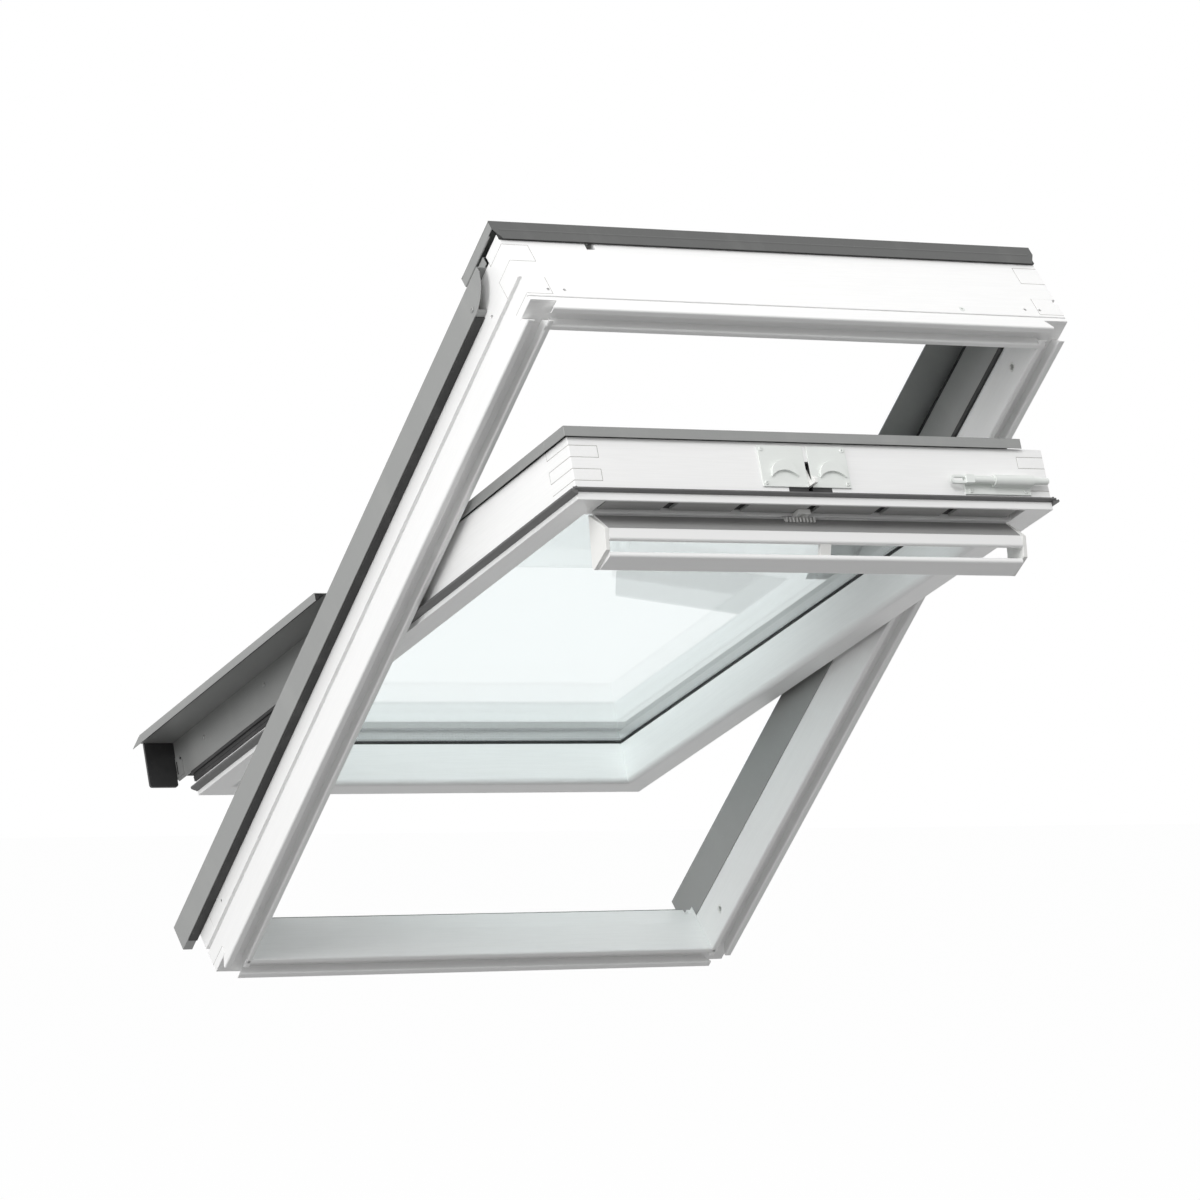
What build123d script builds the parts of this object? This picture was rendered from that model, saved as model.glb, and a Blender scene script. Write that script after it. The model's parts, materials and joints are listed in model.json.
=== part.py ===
"""Centre-pivot roof window, 780 x 1178 mm, in millimetres.

Every piece is drawn closed and upright: X runs across the window, Y runs outward from the
room and Z runs up the slope, with Z = 0 at the middle of the frame. Y = 0 is the flat patch
at the frame's corners. Each finished piece is then laid on the roof pitch, and the pieces of
the sash are turned about the pivot, which gives the pose of the open window.
"""

import os
from math import atan2, degrees

from build123d import *

os.makedirs("parts", exist_ok=True)

# Pose
ROOF_PITCH = 45.0
OPEN_ANGLE = 25.2

# Frame timbers
FRAME_W = 780.0
FRAME_H = 1178.0
FRAME_T = 36.5
STILE_OUT = 107.0
HEAD_OUT = 118.0
SILL_OUT = 66.0
NOSE = 13.5
LIP_OUTER = 10.0
LIP_INNER = 8.5
LIP_ROUND = 2.5
PATCH_END = 31.0
FINGER_FIRST = 12.0
FINGER = 29.5
STILE_STEP = 2.0
STILE_STEP_AT = 47.0
SIDE_GROOVE_AT = 34.0
SIDE_GROOVE_W = 7.0
SIDE_GROOVE_DEEP = 5.0
KERF_AT = 6.2
KERF_W = 1.6
KERF_DEEP = 3.0
SILL_BEVEL_AT = 36.0
SILL_BEVEL = 6.0
HEAD_NOTCH_AT = -271.0
HEAD_NOTCH_W = 12.0
HEAD_NOTCH_DEEP = 20.0
BRACKET_HOLE_R = 2.25
BRACKET_HOLE_DEEP = 18.0
# Each further hole of one timber is drilled this much deeper than the one before.
BRACKET_HOLE_STEP = 1.0
BRACKET_HOLE_OUT = 20.0
BRACKET_HOLE_INSETS = (33.0, 55.5)
STILE_HOLE_OUT = 55.5
STILE_HOLE_FROM_END = 77.0

# Sash timbers
SIDE_GAP = 9.5
HEAD_GAP = 21.5
SILL_GAP = 7.5
SASH_FACE = 25.3
SASH_T = 81.0
SASH_STILE_W = 40.0
SASH_TOP_W = 53.5
SASH_SILL_W = 40.0
SASH_SILL_STEP = 17.0
SASH_SILL_STEP_AT = 44.0
REBATE_AT = 58.0
REBATE_EDGE = 12.0
EDGE_ROUND = 8.5
SASH_FINGER_FIRST = 25.0
SASH_FINGER = 15.0
VENT_SLOT_ABOVE = 14.5
VENT_SLOT_W = 35.0
VENT_SLOT_DEEP = 14.0
FILTER_SET_BACK = 3.0

# Glazing
PANE_T = 4.0
SPACER_T = 13.0
GLASS_PLAY = 1.0
BED_T = 2.6
SPACER_W = 10.0
SPACER_SHOW = 1.0
BEAD_T = 2.4
BEAD_W = 7.0

# Sheet covers
SHEET = 1.2
SHEET_GAP = 0.3
CLAD_PROUD = 14.0
CLAD_LOW = 68.0
CLAD_INNER_LOW = 50.0
CLAD_BOTTOM = 30.0
CLAD_TOP = 44.0
CLAD_INNER_TOP = 64.0
CLAD_END_CUT = 2.0
CLAD_TIP_TAPER = 40.0
CLAD_TIP_W = 9.0
CLAD_TIP_BULGE = 5.0
HOOD_SEAL_T = 3.0
HOOD_LOW = 107.0
HOOD_HIGH = 138.0
HOOD_PLAY = 1.8
HOOD_LAP = 89.0
HOOD_WING = 14.0
HOOD_CORNER = 9.0
COVER_RISE = 11.4
COVER_OVERHANG = 2.0
COVER_INWARD = 51.5
COVER_START = 30.0
COVER_HEAD_GAP = 2.5
COVER_SEAL_W = 14.0
COVER_SEAL_INSET = 6.0
SASH_CLAD_OUT = 93.0
SASH_CLAD_FLANGE = 13.0
SASH_CLAD_PROUD = 5.0
SASH_CLAD_INNER = 8.0
TOP_CLAD_W = 50.5
SILL_CLAD_W = 48.0
LOWER_START = 25.0
LOWER_WEB_LOW = 36.0
LOWER_WEB_CUT = 13.0
WEB_SLOT_INNER = 1.5
WEB_SLOT_OUTER = 4.0
WEB_SLOT_DEEP = 8.0
LOWER_PLATE_OUT = 92.0
LOWER_PLATE_X = 408.5
LOWER_LIP = 11.0
LOWER_END_SLOPE = 32.0
LOWER_END_TIP = 6.5
LOWER_END_IN = 16.5
APRON_REACH = 58.5
APRON_LOW = 48.0
END_CAP_LOW = 28.0
END_CAP_INNER = 3.0
END_CAP_OUTER = 1.0
END_CAP_T = 4.0
END_CAP_GAP = 1.5
SILL_FLASH_LIP = 10.0
SILL_FLASH_DRIP = 16.0
SILL_FLASH_SIDE = 1.0
END_PROFILE_T = 2.0
END_PROFILE_HIGH = 12.0

# Seals
SEAL_AT = 6.0
SEAL_W = 10.0
SEAL_BASE = 2.0
SEAL_TIP_W = 3.0
SEAL_TIP_GAP = 0.3
SEAL_HINGE_CLEAR = 78.0
LOWER_SEAL_AT = 20.0
LOWER_SEAL_W = 15.0
LOWER_SEAL_PROUD = 5.0
GASKET_AT = 42.0
GASKET_W = 7.5
GASKET_PROUD = 3.2
GASKET_START = 95.0

# Hinges
PIVOT_OUT = 112.0
PIN_R = 5.0
PIN_FIT = 0.05
BOSS_R = 9.0
HINGE_PLATE_T = 4.0
HINGE_PLATE_ROUND = 6.0
HINGE_FRAME_HALF = 60.0
HINGE_FRAME_LOW = 54.0
HINGE_FRAME_HIGH = 104.0
HINGE_SASH_LOW = 28.0
HINGE_SASH_HIGH = 78.0
HINGE_SASH_UP = 85.0
HINGE_SASH_DOWN = 18.0
HINGE_RUN = 0.3
HINGE_SCREW_INSET = 12.0

# Lock
LOCK_PLATE_T = 2.0
LOCK_PLATE_LOW = 22.0
LOCK_PLATE_LONG = 54.0
LOCK_PLATE_LEFT = -79.0
LOCK_PLATE_RIGHT = 48.0
LOCK_SLOT_X = (-14.0, -8.0)
LOCK_BUMPS_X = (-46.5, 23.0)
LOCK_BUMP_OUT = 37.0
LOCK_BUMP_R = 19.0
LOCK_BUMP_BITE_R = 26.0
LOCK_BUMP_BITE_OUT = 20.0
LOCK_BUMP_RISE = 3.5
LOCK_SCREW_INSET = 5.0
LOCK_CASE_X = (-42.0, 20.0)
LOCK_CASE_OUT = (15.5, 56.0)
LOCK_CASE_DEEP = 19.0
LOCK_CASE_WALL = 2.0
LATCH_PIN_OUT = 44.0
LATCH_PIN_DEEP = 10.0
LATCH_PIN_R = 2.0
LATCH_BOSS_R = 6.0
LATCH_SIDE_PLAY = 0.5
LATCH_RISE = 15.5
LATCH_HOOK_OUT = (23.0, 34.0)
LATCH_HOOK_STEM = 6.0
LATCH_HOOK_HEAD = 5.0
STRIKER_X = (-55.0, 33.0)
STRIKER_OUT = (40.0, 72.0)
STRIKER_T = 2.0
STRIKER_SLOT_W = 14.0
STRIKER_SLOT_OUT = (46.0, 64.0)
STRIKER_SLOT_DEEP = 8.0
LOCK_FACE_HALF = 8.5
LOCK_FACE_T = 6.0
LOCK_FACE_H = 17.0
LOCK_FACE_SLOT = 2.0

# Barrel bolt
BOLT_OUT = 34.5
BOLT_R = 4.5
BOLT_RISE = 9.0
BOLT_FIT = 0.1
BOLT_TIP_GAP = 6.0
BOLT_TRAVEL = 30.0
BOLT_END_INSET = 30.0
BOLT_PLATE_LONG = 98.0
BOLT_PLATE_OUT = (18.0, 43.0)
BOLT_BARREL_LONG = 58.0
BOLT_BARREL_R = 6.8
BOLT_BARREL_FOOT = 15.0
BOLT_GRIP_LONG = 12.0
BOLT_GRIP_W = 11.0
BOLT_GRIP_T = 9.0
BOLT_LOOP_LONG = 24.0
BOLT_LOOP_BAR = 3.0
BOLT_LOOP_T = 4.0
BOLT_SCREW_OUT = 22.4
BOLT_SCREW_INSET = 8.0
KEEPER_DEEP = 16.0
KEEPER_PLAY = 0.8
KEEPER_WALL = 1.6

# Control bar
BAR_HALF = 305.0
BAR_HINGE_IN = 2.7
BAR_HINGE_BELOW = 5.0
BAR_HINGE_R = 2.4
BAR_LEAF_T = 3.4
BAR_FRONT_IN = 44.0
BAR_FRONT_UP = 28.0
BAR_FRONT_T = 8.0
BAR_FRONT_ROUND = 3.5
BAR_TURN_IN = 29.6
GRIP_TOP = (59.0, 21.0)
GRIP_FOOT = (66.0, -11.0)
GRIP_T = 8.0
GRIP_ROUND = 3.5
CAP_T = 6.0
CAP_MARGIN = 3.0
CAP_ROUND = 2.0
CAP_HINGE = 1.5
BRACKET_X = (1.0, 16.0)
BRACKET_H = 10.0

# Screws, bushes and plugs
SCREW_R = 2.0
SCREW_HEAD_R = 3.6
SCREW_HEAD_T = 1.6
SCREW_LONG = 14.0
SCREW_PLAY = 0.1
CLAD_SCREW_Z = 502.0
CLAD_SCREW_OUT = 78.8
WEB_SCREWS = ((67.0, -501.0), (72.0, -311.0), (72.0, -120.0))
BUSH_R = 6.5
BUSH_DEEP = 12.0
BUSH_HOLE_R = 3.5
BUSH_AT = 500.0
BUSH_OUT = 12.0
PLUG_X = 237.0
PLUG_OUT = 16.0
PLUG_R = 4.0
PLUG_DEEP = 6.0

# Places that follow from the sizes
SIDES = (("left", -1), ("right", 1))
OUT_X = FRAME_W / 2
IN_X = OUT_X - FRAME_T
TOP_Z = FRAME_H / 2
IN_Z = TOP_Z - FRAME_T
SASH_X = IN_X - SIDE_GAP
WEB_SLOT_X = (SASH_X - WEB_SLOT_INNER, SASH_X + WEB_SLOT_OUTER)
END_CAP_INNER_X = SASH_X + END_CAP_INNER
END_CAP_OUTER_X = OUT_X - END_CAP_OUTER
BOLT_PLATE_X = (SASH_X - BOLT_END_INSET - BOLT_PLATE_LONG, SASH_X - BOLT_END_INSET)
BOLT_BARREL_X = (SASH_X - BOLT_END_INSET - BOLT_BARREL_LONG, SASH_X - BOLT_END_INSET)
SASH_TOP = IN_Z - HEAD_GAP
SASH_LOW = -IN_Z + SILL_GAP
SASH_FOOT = SASH_LOW - SASH_SILL_STEP
SASH_OUT = SASH_FACE + SASH_T
GLASS_X = SASH_X - SASH_STILE_W
GLASS_TOP = SASH_TOP - SASH_TOP_W
GLASS_LOW = SASH_LOW + SASH_SILL_W
POCKET_X = SASH_X - REBATE_EDGE
POCKET_TOP = SASH_TOP - REBATE_EDGE
POCKET_LOW = SASH_LOW + REBATE_EDGE
PANE_X = POCKET_X - GLASS_PLAY
PANE_TOP = POCKET_TOP - GLASS_PLAY
PANE_LOW = POCKET_LOW + GLASS_PLAY
PANE_IN = SASH_FACE + REBATE_AT + BED_T
SPACER_IN = PANE_IN + PANE_T
PANE_OUT = SPACER_IN + SPACER_T + PANE_T
BEAD_OUT = PANE_OUT + BEAD_T
CLAD_X = OUT_X + CLAD_PROUD
CLAD_IN_X = IN_X + STILE_STEP
CLAD_OUT = STILE_OUT + SHEET
CLAD_TIP = TOP_Z - CLAD_TOP
COVER_UNDER = CLAD_OUT + COVER_RISE
COVER_X = OUT_X + COVER_OVERHANG
HOOD_X = COVER_X + HOOD_PLAY + SHEET
HOOD_Z = TOP_Z + HOOD_SEAL_T + SHEET
SASH_CLAD_Y = SASH_FACE + SASH_CLAD_OUT
SASH_CLAD_X = SASH_X + SASH_CLAD_PROUD
SASH_CLAD_IN_X = GLASS_X + SASH_CLAD_INNER
SASH_CLAD_TOP = SASH_TOP + SASH_CLAD_PROUD
TOP_CLAD_Z = SASH_CLAD_TOP - TOP_CLAD_W
SILL_CLAD_Z = SASH_LOW + SILL_CLAD_W
LOWER_PLATE_Y = SASH_FACE + LOWER_PLATE_OUT
APRON_Z = SASH_LOW - APRON_REACH
LOWER_END = -TOP_Z - END_CAP_GAP - END_CAP_T
FRAME_HINGE_X = CLAD_IN_X - SHEET - HINGE_PLATE_T
SASH_HINGE_X = SASH_X + HINGE_PLATE_T
SLOT_Z = GLASS_TOP + VENT_SLOT_ABOVE
LOCK_TOP = SASH_TOP + LOCK_PLATE_T
BOLT_Y = SASH_FACE + BOLT_OUT
BOLT_Z = SASH_TOP + BOLT_RISE
KEEPER_R = BOLT_R + KEEPER_PLAY + KEEPER_WALL
BAR_Y = SASH_FACE - BAR_HINGE_IN
BAR_Z = SLOT_Z - BAR_HINGE_BELOW
BAR_RUN = BAR_HALF - CAP_T
LATCH_Y = SASH_FACE + LATCH_PIN_OUT
LATCH_Z = SASH_TOP - LATCH_PIN_DEEP

# The origin is the middle of the sill's lower face.
ORIGIN = Vector(0, (SILL_OUT - NOSE) / 2, -TOP_Z)
PIVOT = Vector(0, PIVOT_OUT, 0)
FRAME_SEAT = Location((0, 0, 0), (1, 0, 0), 90 - ROOF_PITCH) * Location(-ORIGIN)
SASH_TURN = Location(PIVOT) * Location((0, 0, 0), (1, 0, 0), OPEN_ANGLE) * Location(-PIVOT)
SASH_SEAT = FRAME_SEAT * SASH_TURN

frame_pieces = {}
sash_pieces = {}


def span(sign, near, far):
    """Return two X values in rising order, on the side that the sign gives."""
    return tuple(sorted((sign * near, sign * far)))


def block(xs, ys, zs, mode=Mode.ADD):
    """Add or cut a block between two values on each axis."""
    middle = ((xs[0] + xs[1]) / 2, (ys[0] + ys[1]) / 2, (zs[0] + zs[1]) / 2)
    with Locations(middle):
        Box(xs[1] - xs[0], ys[1] - ys[0], zs[1] - zs[0], mode=mode)


def run_up(points, low, high, mode=Mode.ADD):
    """Extrude an X, Y outline up the slope from one Z to another."""
    with BuildSketch(Plane.XY.offset(low)) as outline:
        Polygon(*points, align=None)
    extrude(outline.sketch, amount=high - low, mode=mode)


def run_across(points, left, right, mode=Mode.ADD):
    """Extrude a Y, Z outline across the window from one X to another."""
    with BuildSketch(Plane.YZ.offset(left)) as outline:
        Polygon(*points, align=None)
    extrude(outline.sketch, amount=right - left, mode=mode)


def rod(radius, start, axis, length, mode=Mode.ADD):
    """Add or cut a round rod from a point along an axis."""
    with BuildSketch(Plane(origin=start, z_dir=axis)) as disc:
        Circle(radius)
    extrude(disc.sketch, amount=length, mode=mode)


def screws(places, axis):
    """Add pan-head screws whose heads sit on a face, their shanks along the axis."""
    for place in places:
        rod(SCREW_R, place, axis, SCREW_LONG)
        rod(SCREW_HEAD_R, Vector(place) - Vector(axis) * SCREW_HEAD_T, axis, SCREW_HEAD_T)


def screw_holes(places, axis):
    """Cut the holes that the shanks of screws at these places run in."""
    for place in places:
        rod(SCREW_R + SCREW_PLAY, place, axis, SCREW_LONG + SCREW_PLAY, mode=Mode.SUBTRACT)


def head_recesses(places, axis):
    """Cut the round seats that sunk screw heads lie in."""
    for place in places:
        top = Vector(place) - Vector(axis) * SCREW_HEAD_T
        rod(SCREW_HEAD_R + SCREW_PLAY, top, axis, SCREW_HEAD_T, mode=Mode.SUBTRACT)


def finger_bands(first, step, face, out):
    """Return the Y ranges of a rail's fingers in a comb joint, counted from the room face."""
    bands = [(face, face + first)]
    low = face + first + step
    while low < out:
        bands.append((low, min(low + step, out)))
        low += 2 * step
    return bands


def lip(xs, zs):
    """Add one lip on the room face of a frame timber, with its edges rounded."""
    block(xs, (-NOSE, 0), zs)
    fillet(faces(Select.LAST).sort_by(Axis.Y)[0].edges(), LIP_ROUND)


def sheet_outline(points):
    """Return the outline of bent sheet that lies to the right of the line of points."""
    line = [Vector(*point) for point in points]
    inner = []
    for index, point in enumerate(line):
        ways = []
        if index > 0:
            ways.append((point - line[index - 1]).normalized())
        if index + 1 < len(line):
            ways.append((line[index + 1] - point).normalized())
        normals = [Vector(way.Y, -way.X) for way in ways]
        middle = (normals[0] + normals[-1]).normalized()
        inner.append(point + middle * (SHEET / middle.dot(normals[0])))
    return [(p.X, p.Y) for p in line] + [(p.X, p.Y) for p in reversed(inner)]


def sided(sign, points):
    """Return an X, Y outline on the side that the sign gives."""
    return [(sign * x, y) for x, y in points]


def glass_ring(inset, edge, ys):
    """Add a ring round the sight opening, from an inset past the opening out to an edge."""
    x, low, high = edge
    block((-x, x), ys, (low, high))
    inner_x = GLASS_X + inset
    inner_zs = (GLASS_LOW - inset, GLASS_TOP + inset)
    block((-inner_x, inner_x), ys, inner_zs, mode=Mode.SUBTRACT)


def bar_point(inward, up):
    """Return the Y, Z of a point of the control bar, measured from the sash and the hinge."""
    return (SASH_FACE - inward, BAR_Z + up)


HEAD_BANDS = finger_bands(FINGER_FIRST, FINGER, 0, HEAD_OUT)
SILL_BANDS = finger_bands(FINGER_FIRST, FINGER, 0, SILL_OUT)
SASH_BANDS = finger_bands(SASH_FINGER_FIRST, SASH_FINGER, SASH_FACE, SASH_OUT)


def clad_screw_places(sign):
    """Return where the screw of a stile's side cladding stands."""
    return [(sign * CLAD_X, CLAD_SCREW_OUT, CLAD_SCREW_Z)]


def frame_hinge_places(sign):
    """Return the seats of the sunk screws that hold a frame hinge plate."""
    x = sign * (FRAME_HINGE_X + SCREW_HEAD_T)
    half = HINGE_FRAME_HALF - HINGE_SCREW_INSET
    low = HINGE_FRAME_LOW + HINGE_SCREW_INSET
    high = HINGE_FRAME_HIGH - HINGE_SCREW_INSET
    return [(x, low, -half), (x, low, half), (x, high, -half), (x, high, half)]


def sash_hinge_places(sign):
    """Return the seats of the sunk screws that hold a sash hinge plate."""
    x = sign * (SASH_HINGE_X - SCREW_HEAD_T)
    top = HINGE_SASH_UP - HINGE_SCREW_INSET
    foot = -HINGE_SASH_DOWN + HINGE_SCREW_INSET
    low = SASH_FACE + HINGE_SASH_LOW + HINGE_SCREW_INSET
    high = SASH_FACE + HINGE_SASH_HIGH - HINGE_SCREW_INSET
    return [(x, low, foot), (x, low, top), (x, high, top)]


def web_screw_places(sign):
    """Return where the screws of a lower sash web stand."""
    return [(sign * (SASH_X + SHEET), SASH_FACE + out, z) for out, z in WEB_SCREWS]


LOCK_SCREWS = [
    (x, SASH_FACE + LOCK_PLATE_LOW + out, LOCK_TOP)
    for x in (LOCK_PLATE_LEFT + LOCK_SCREW_INSET, LOCK_PLATE_RIGHT - LOCK_SCREW_INSET)
    for out in (LOCK_SCREW_INSET, LOCK_PLATE_LONG - LOCK_SCREW_INSET)
]
BOLT_SCREWS = [
    (x, SASH_FACE + BOLT_SCREW_OUT, LOCK_TOP)
    for x in (BOLT_PLATE_X[0] + BOLT_SCREW_INSET, BOLT_PLATE_X[1] - BOLT_SCREW_INSET)
]

# The bracket holes in the frame's two ends: the outer pair in the stiles, then the inner pair
END_HOLES = [
    (way * (OUT_X - inset), BRACKET_HOLE_DEEP + (2 * pair + place) * BRACKET_HOLE_STEP)
    for pair, inset in enumerate(BRACKET_HOLE_INSETS)
    for place, way in enumerate((-1, 1))
]

# Frame timbers
for side, sign in SIDES:
    with BuildPart() as stile:
        section = [
            (IN_X, 0),
            (OUT_X, 0),
            (OUT_X, STILE_OUT),
            (CLAD_IN_X, STILE_OUT),
            (CLAD_IN_X, STILE_STEP_AT),
            (IN_X, STILE_STEP_AT),
        ]
        run_up(sided(sign, section), -TOP_Z, TOP_Z)
        # At the head the stile keeps its full width, so that the comb joint closes.
        block(span(sign, IN_X, CLAD_IN_X), (STILE_STEP_AT, STILE_OUT), (IN_Z, TOP_Z))
        lip_zs = (-TOP_Z + PATCH_END, TOP_Z - PATCH_END)
        lip(span(sign, IN_X, IN_X + LIP_INNER), lip_zs)
        lip(span(sign, OUT_X - LIP_OUTER, OUT_X), lip_zs)
        block(
            span(sign, OUT_X - SIDE_GROOVE_DEEP, OUT_X),
            (SIDE_GROOVE_AT, SIDE_GROOVE_AT + SIDE_GROOVE_W),
            (-TOP_Z, TOP_Z),
            mode=Mode.SUBTRACT,
        )
        for low, high in HEAD_BANDS:
            block(span(sign, IN_X, OUT_X), (low, high), (IN_Z, TOP_Z), mode=Mode.SUBTRACT)
        for low, high in SILL_BANDS:
            block(span(sign, IN_X, OUT_X), (low, high), (-TOP_Z, -IN_Z), mode=Mode.SUBTRACT)
        hole_z = TOP_Z - STILE_HOLE_FROM_END
        for index, z in enumerate((hole_z, -hole_z)):
            start = (sign * OUT_X, STILE_HOLE_OUT, z)
            deep = BRACKET_HOLE_DEEP + index * BRACKET_HOLE_STEP
            rod(BRACKET_HOLE_R, start, (-sign, 0, 0), deep, mode=Mode.SUBTRACT)
        end_hole_x, deep = END_HOLES[0 if sign < 0 else 1]
        for way in (-1, 1):
            start = (end_hole_x, BRACKET_HOLE_OUT, way * TOP_Z)
            rod(BRACKET_HOLE_R, start, (0, 0, -way), deep, mode=Mode.SUBTRACT)
        for z in (-BUSH_AT, BUSH_AT):
            start = (sign * IN_X, BUSH_OUT, z)
            rod(BUSH_R, start, (sign, 0, 0), BUSH_DEEP, mode=Mode.SUBTRACT)
        screw_holes(frame_hinge_places(sign), (sign, 0, 0))
        if sign > 0:
            start = (CLAD_IN_X, BOLT_Y, BOLT_Z)
            rod(KEEPER_R, start, (1, 0, 0), KEEPER_DEEP, mode=Mode.SUBTRACT)
    frame_pieces[f"frame_{side}_stile"] = stile

with BuildPart() as head_rail:
    block((-IN_X, IN_X), (0, HEAD_OUT), (IN_Z, TOP_Z))
    for low, high in HEAD_BANDS:
        block((-OUT_X, OUT_X), (low, high), (IN_Z, TOP_Z))
    lip((-IN_X, IN_X), (IN_Z, IN_Z + LIP_INNER))
    lip((-IN_X, IN_X), (TOP_Z - LIP_OUTER, TOP_Z))
    block(
        (-OUT_X, OUT_X),
        (KERF_AT, KERF_AT + KERF_W),
        (TOP_Z - KERF_DEEP, TOP_Z),
        mode=Mode.SUBTRACT,
    )
    block(
        (HEAD_NOTCH_AT, HEAD_NOTCH_AT + HEAD_NOTCH_W),
        (HEAD_OUT - HEAD_NOTCH_DEEP, HEAD_OUT),
        (IN_Z, TOP_Z),
        mode=Mode.SUBTRACT,
    )
    for x, deep in END_HOLES[2:]:
        rod(BRACKET_HOLE_R, (x, BRACKET_HOLE_OUT, TOP_Z), (0, 0, -1), deep, mode=Mode.SUBTRACT)
    rod(PLUG_R, (PLUG_X, PLUG_OUT, TOP_Z), (0, 0, -1), PLUG_DEEP, mode=Mode.SUBTRACT)
    slot_x = (LOCK_SLOT_X[0] + LOCK_SLOT_X[1]) / 2
    striker_slot_xs = (slot_x - STRIKER_SLOT_W / 2, slot_x + STRIKER_SLOT_W / 2)
    block(STRIKER_X, STRIKER_OUT, (IN_Z, IN_Z + STRIKER_T), mode=Mode.SUBTRACT)
    block(
        striker_slot_xs,
        STRIKER_SLOT_OUT,
        (IN_Z, IN_Z + STRIKER_SLOT_DEEP),
        mode=Mode.SUBTRACT,
    )
frame_pieces["frame_head_rail"] = head_rail

with BuildPart() as bottom_rail:
    block((-IN_X, IN_X), (0, SILL_OUT), (-TOP_Z, -IN_Z))
    for low, high in SILL_BANDS:
        block((-OUT_X, OUT_X), (low, high), (-TOP_Z, -IN_Z))
    bevel = [
        (SILL_BEVEL_AT, -IN_Z),
        (SILL_OUT, -IN_Z),
        (SILL_OUT, -IN_Z - SILL_BEVEL),
    ]
    run_across(bevel, -IN_X, IN_X, mode=Mode.SUBTRACT)
    for side, sign in SIDES:
        slot_ys = (SILL_OUT - WEB_SLOT_DEEP, SILL_OUT)
        block(span(sign, *WEB_SLOT_X), slot_ys, (-TOP_Z, -IN_Z), mode=Mode.SUBTRACT)
    lip((-IN_X, IN_X), (-IN_Z - LIP_INNER, -IN_Z))
    lip((-IN_X, IN_X), (-TOP_Z, -TOP_Z + LIP_OUTER))
    for x, deep in END_HOLES[2:]:
        rod(BRACKET_HOLE_R, (x, BRACKET_HOLE_OUT, -TOP_Z), (0, 0, 1), deep, mode=Mode.SUBTRACT)
frame_pieces["frame_bottom_rail"] = bottom_rail

with BuildPart() as stile_bushes:
    for side, sign in SIDES:
        for z in (-BUSH_AT, BUSH_AT):
            face = (sign * IN_X, BUSH_OUT, z)
            rod(BUSH_R, face, (sign, 0, 0), BUSH_DEEP)
            rod(BUSH_HOLE_R, face, (sign, 0, 0), BUSH_DEEP, mode=Mode.SUBTRACT)
frame_pieces["stile_bushes"] = stile_bushes

with BuildPart() as head_plug:
    rod(PLUG_R, (PLUG_X, PLUG_OUT, TOP_Z), (0, 0, -1), PLUG_DEEP)
frame_pieces["head_plug"] = head_plug

# Frame metalwork
with BuildPart() as striker_plate:
    block(STRIKER_X, STRIKER_OUT, (IN_Z, IN_Z + STRIKER_T))
    block(striker_slot_xs, STRIKER_SLOT_OUT, (IN_Z, IN_Z + STRIKER_T), mode=Mode.SUBTRACT)
frame_pieces["striker_plate"] = striker_plate

with BuildPart() as bolt_keeper:
    mouth = (CLAD_IN_X, BOLT_Y, BOLT_Z)
    deep = KEEPER_DEEP - KEEPER_WALL
    rod(KEEPER_R, mouth, (1, 0, 0), KEEPER_DEEP)
    rod(BOLT_R + KEEPER_PLAY, mouth, (1, 0, 0), deep, mode=Mode.SUBTRACT)
frame_pieces["bolt_keeper"] = bolt_keeper

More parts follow.
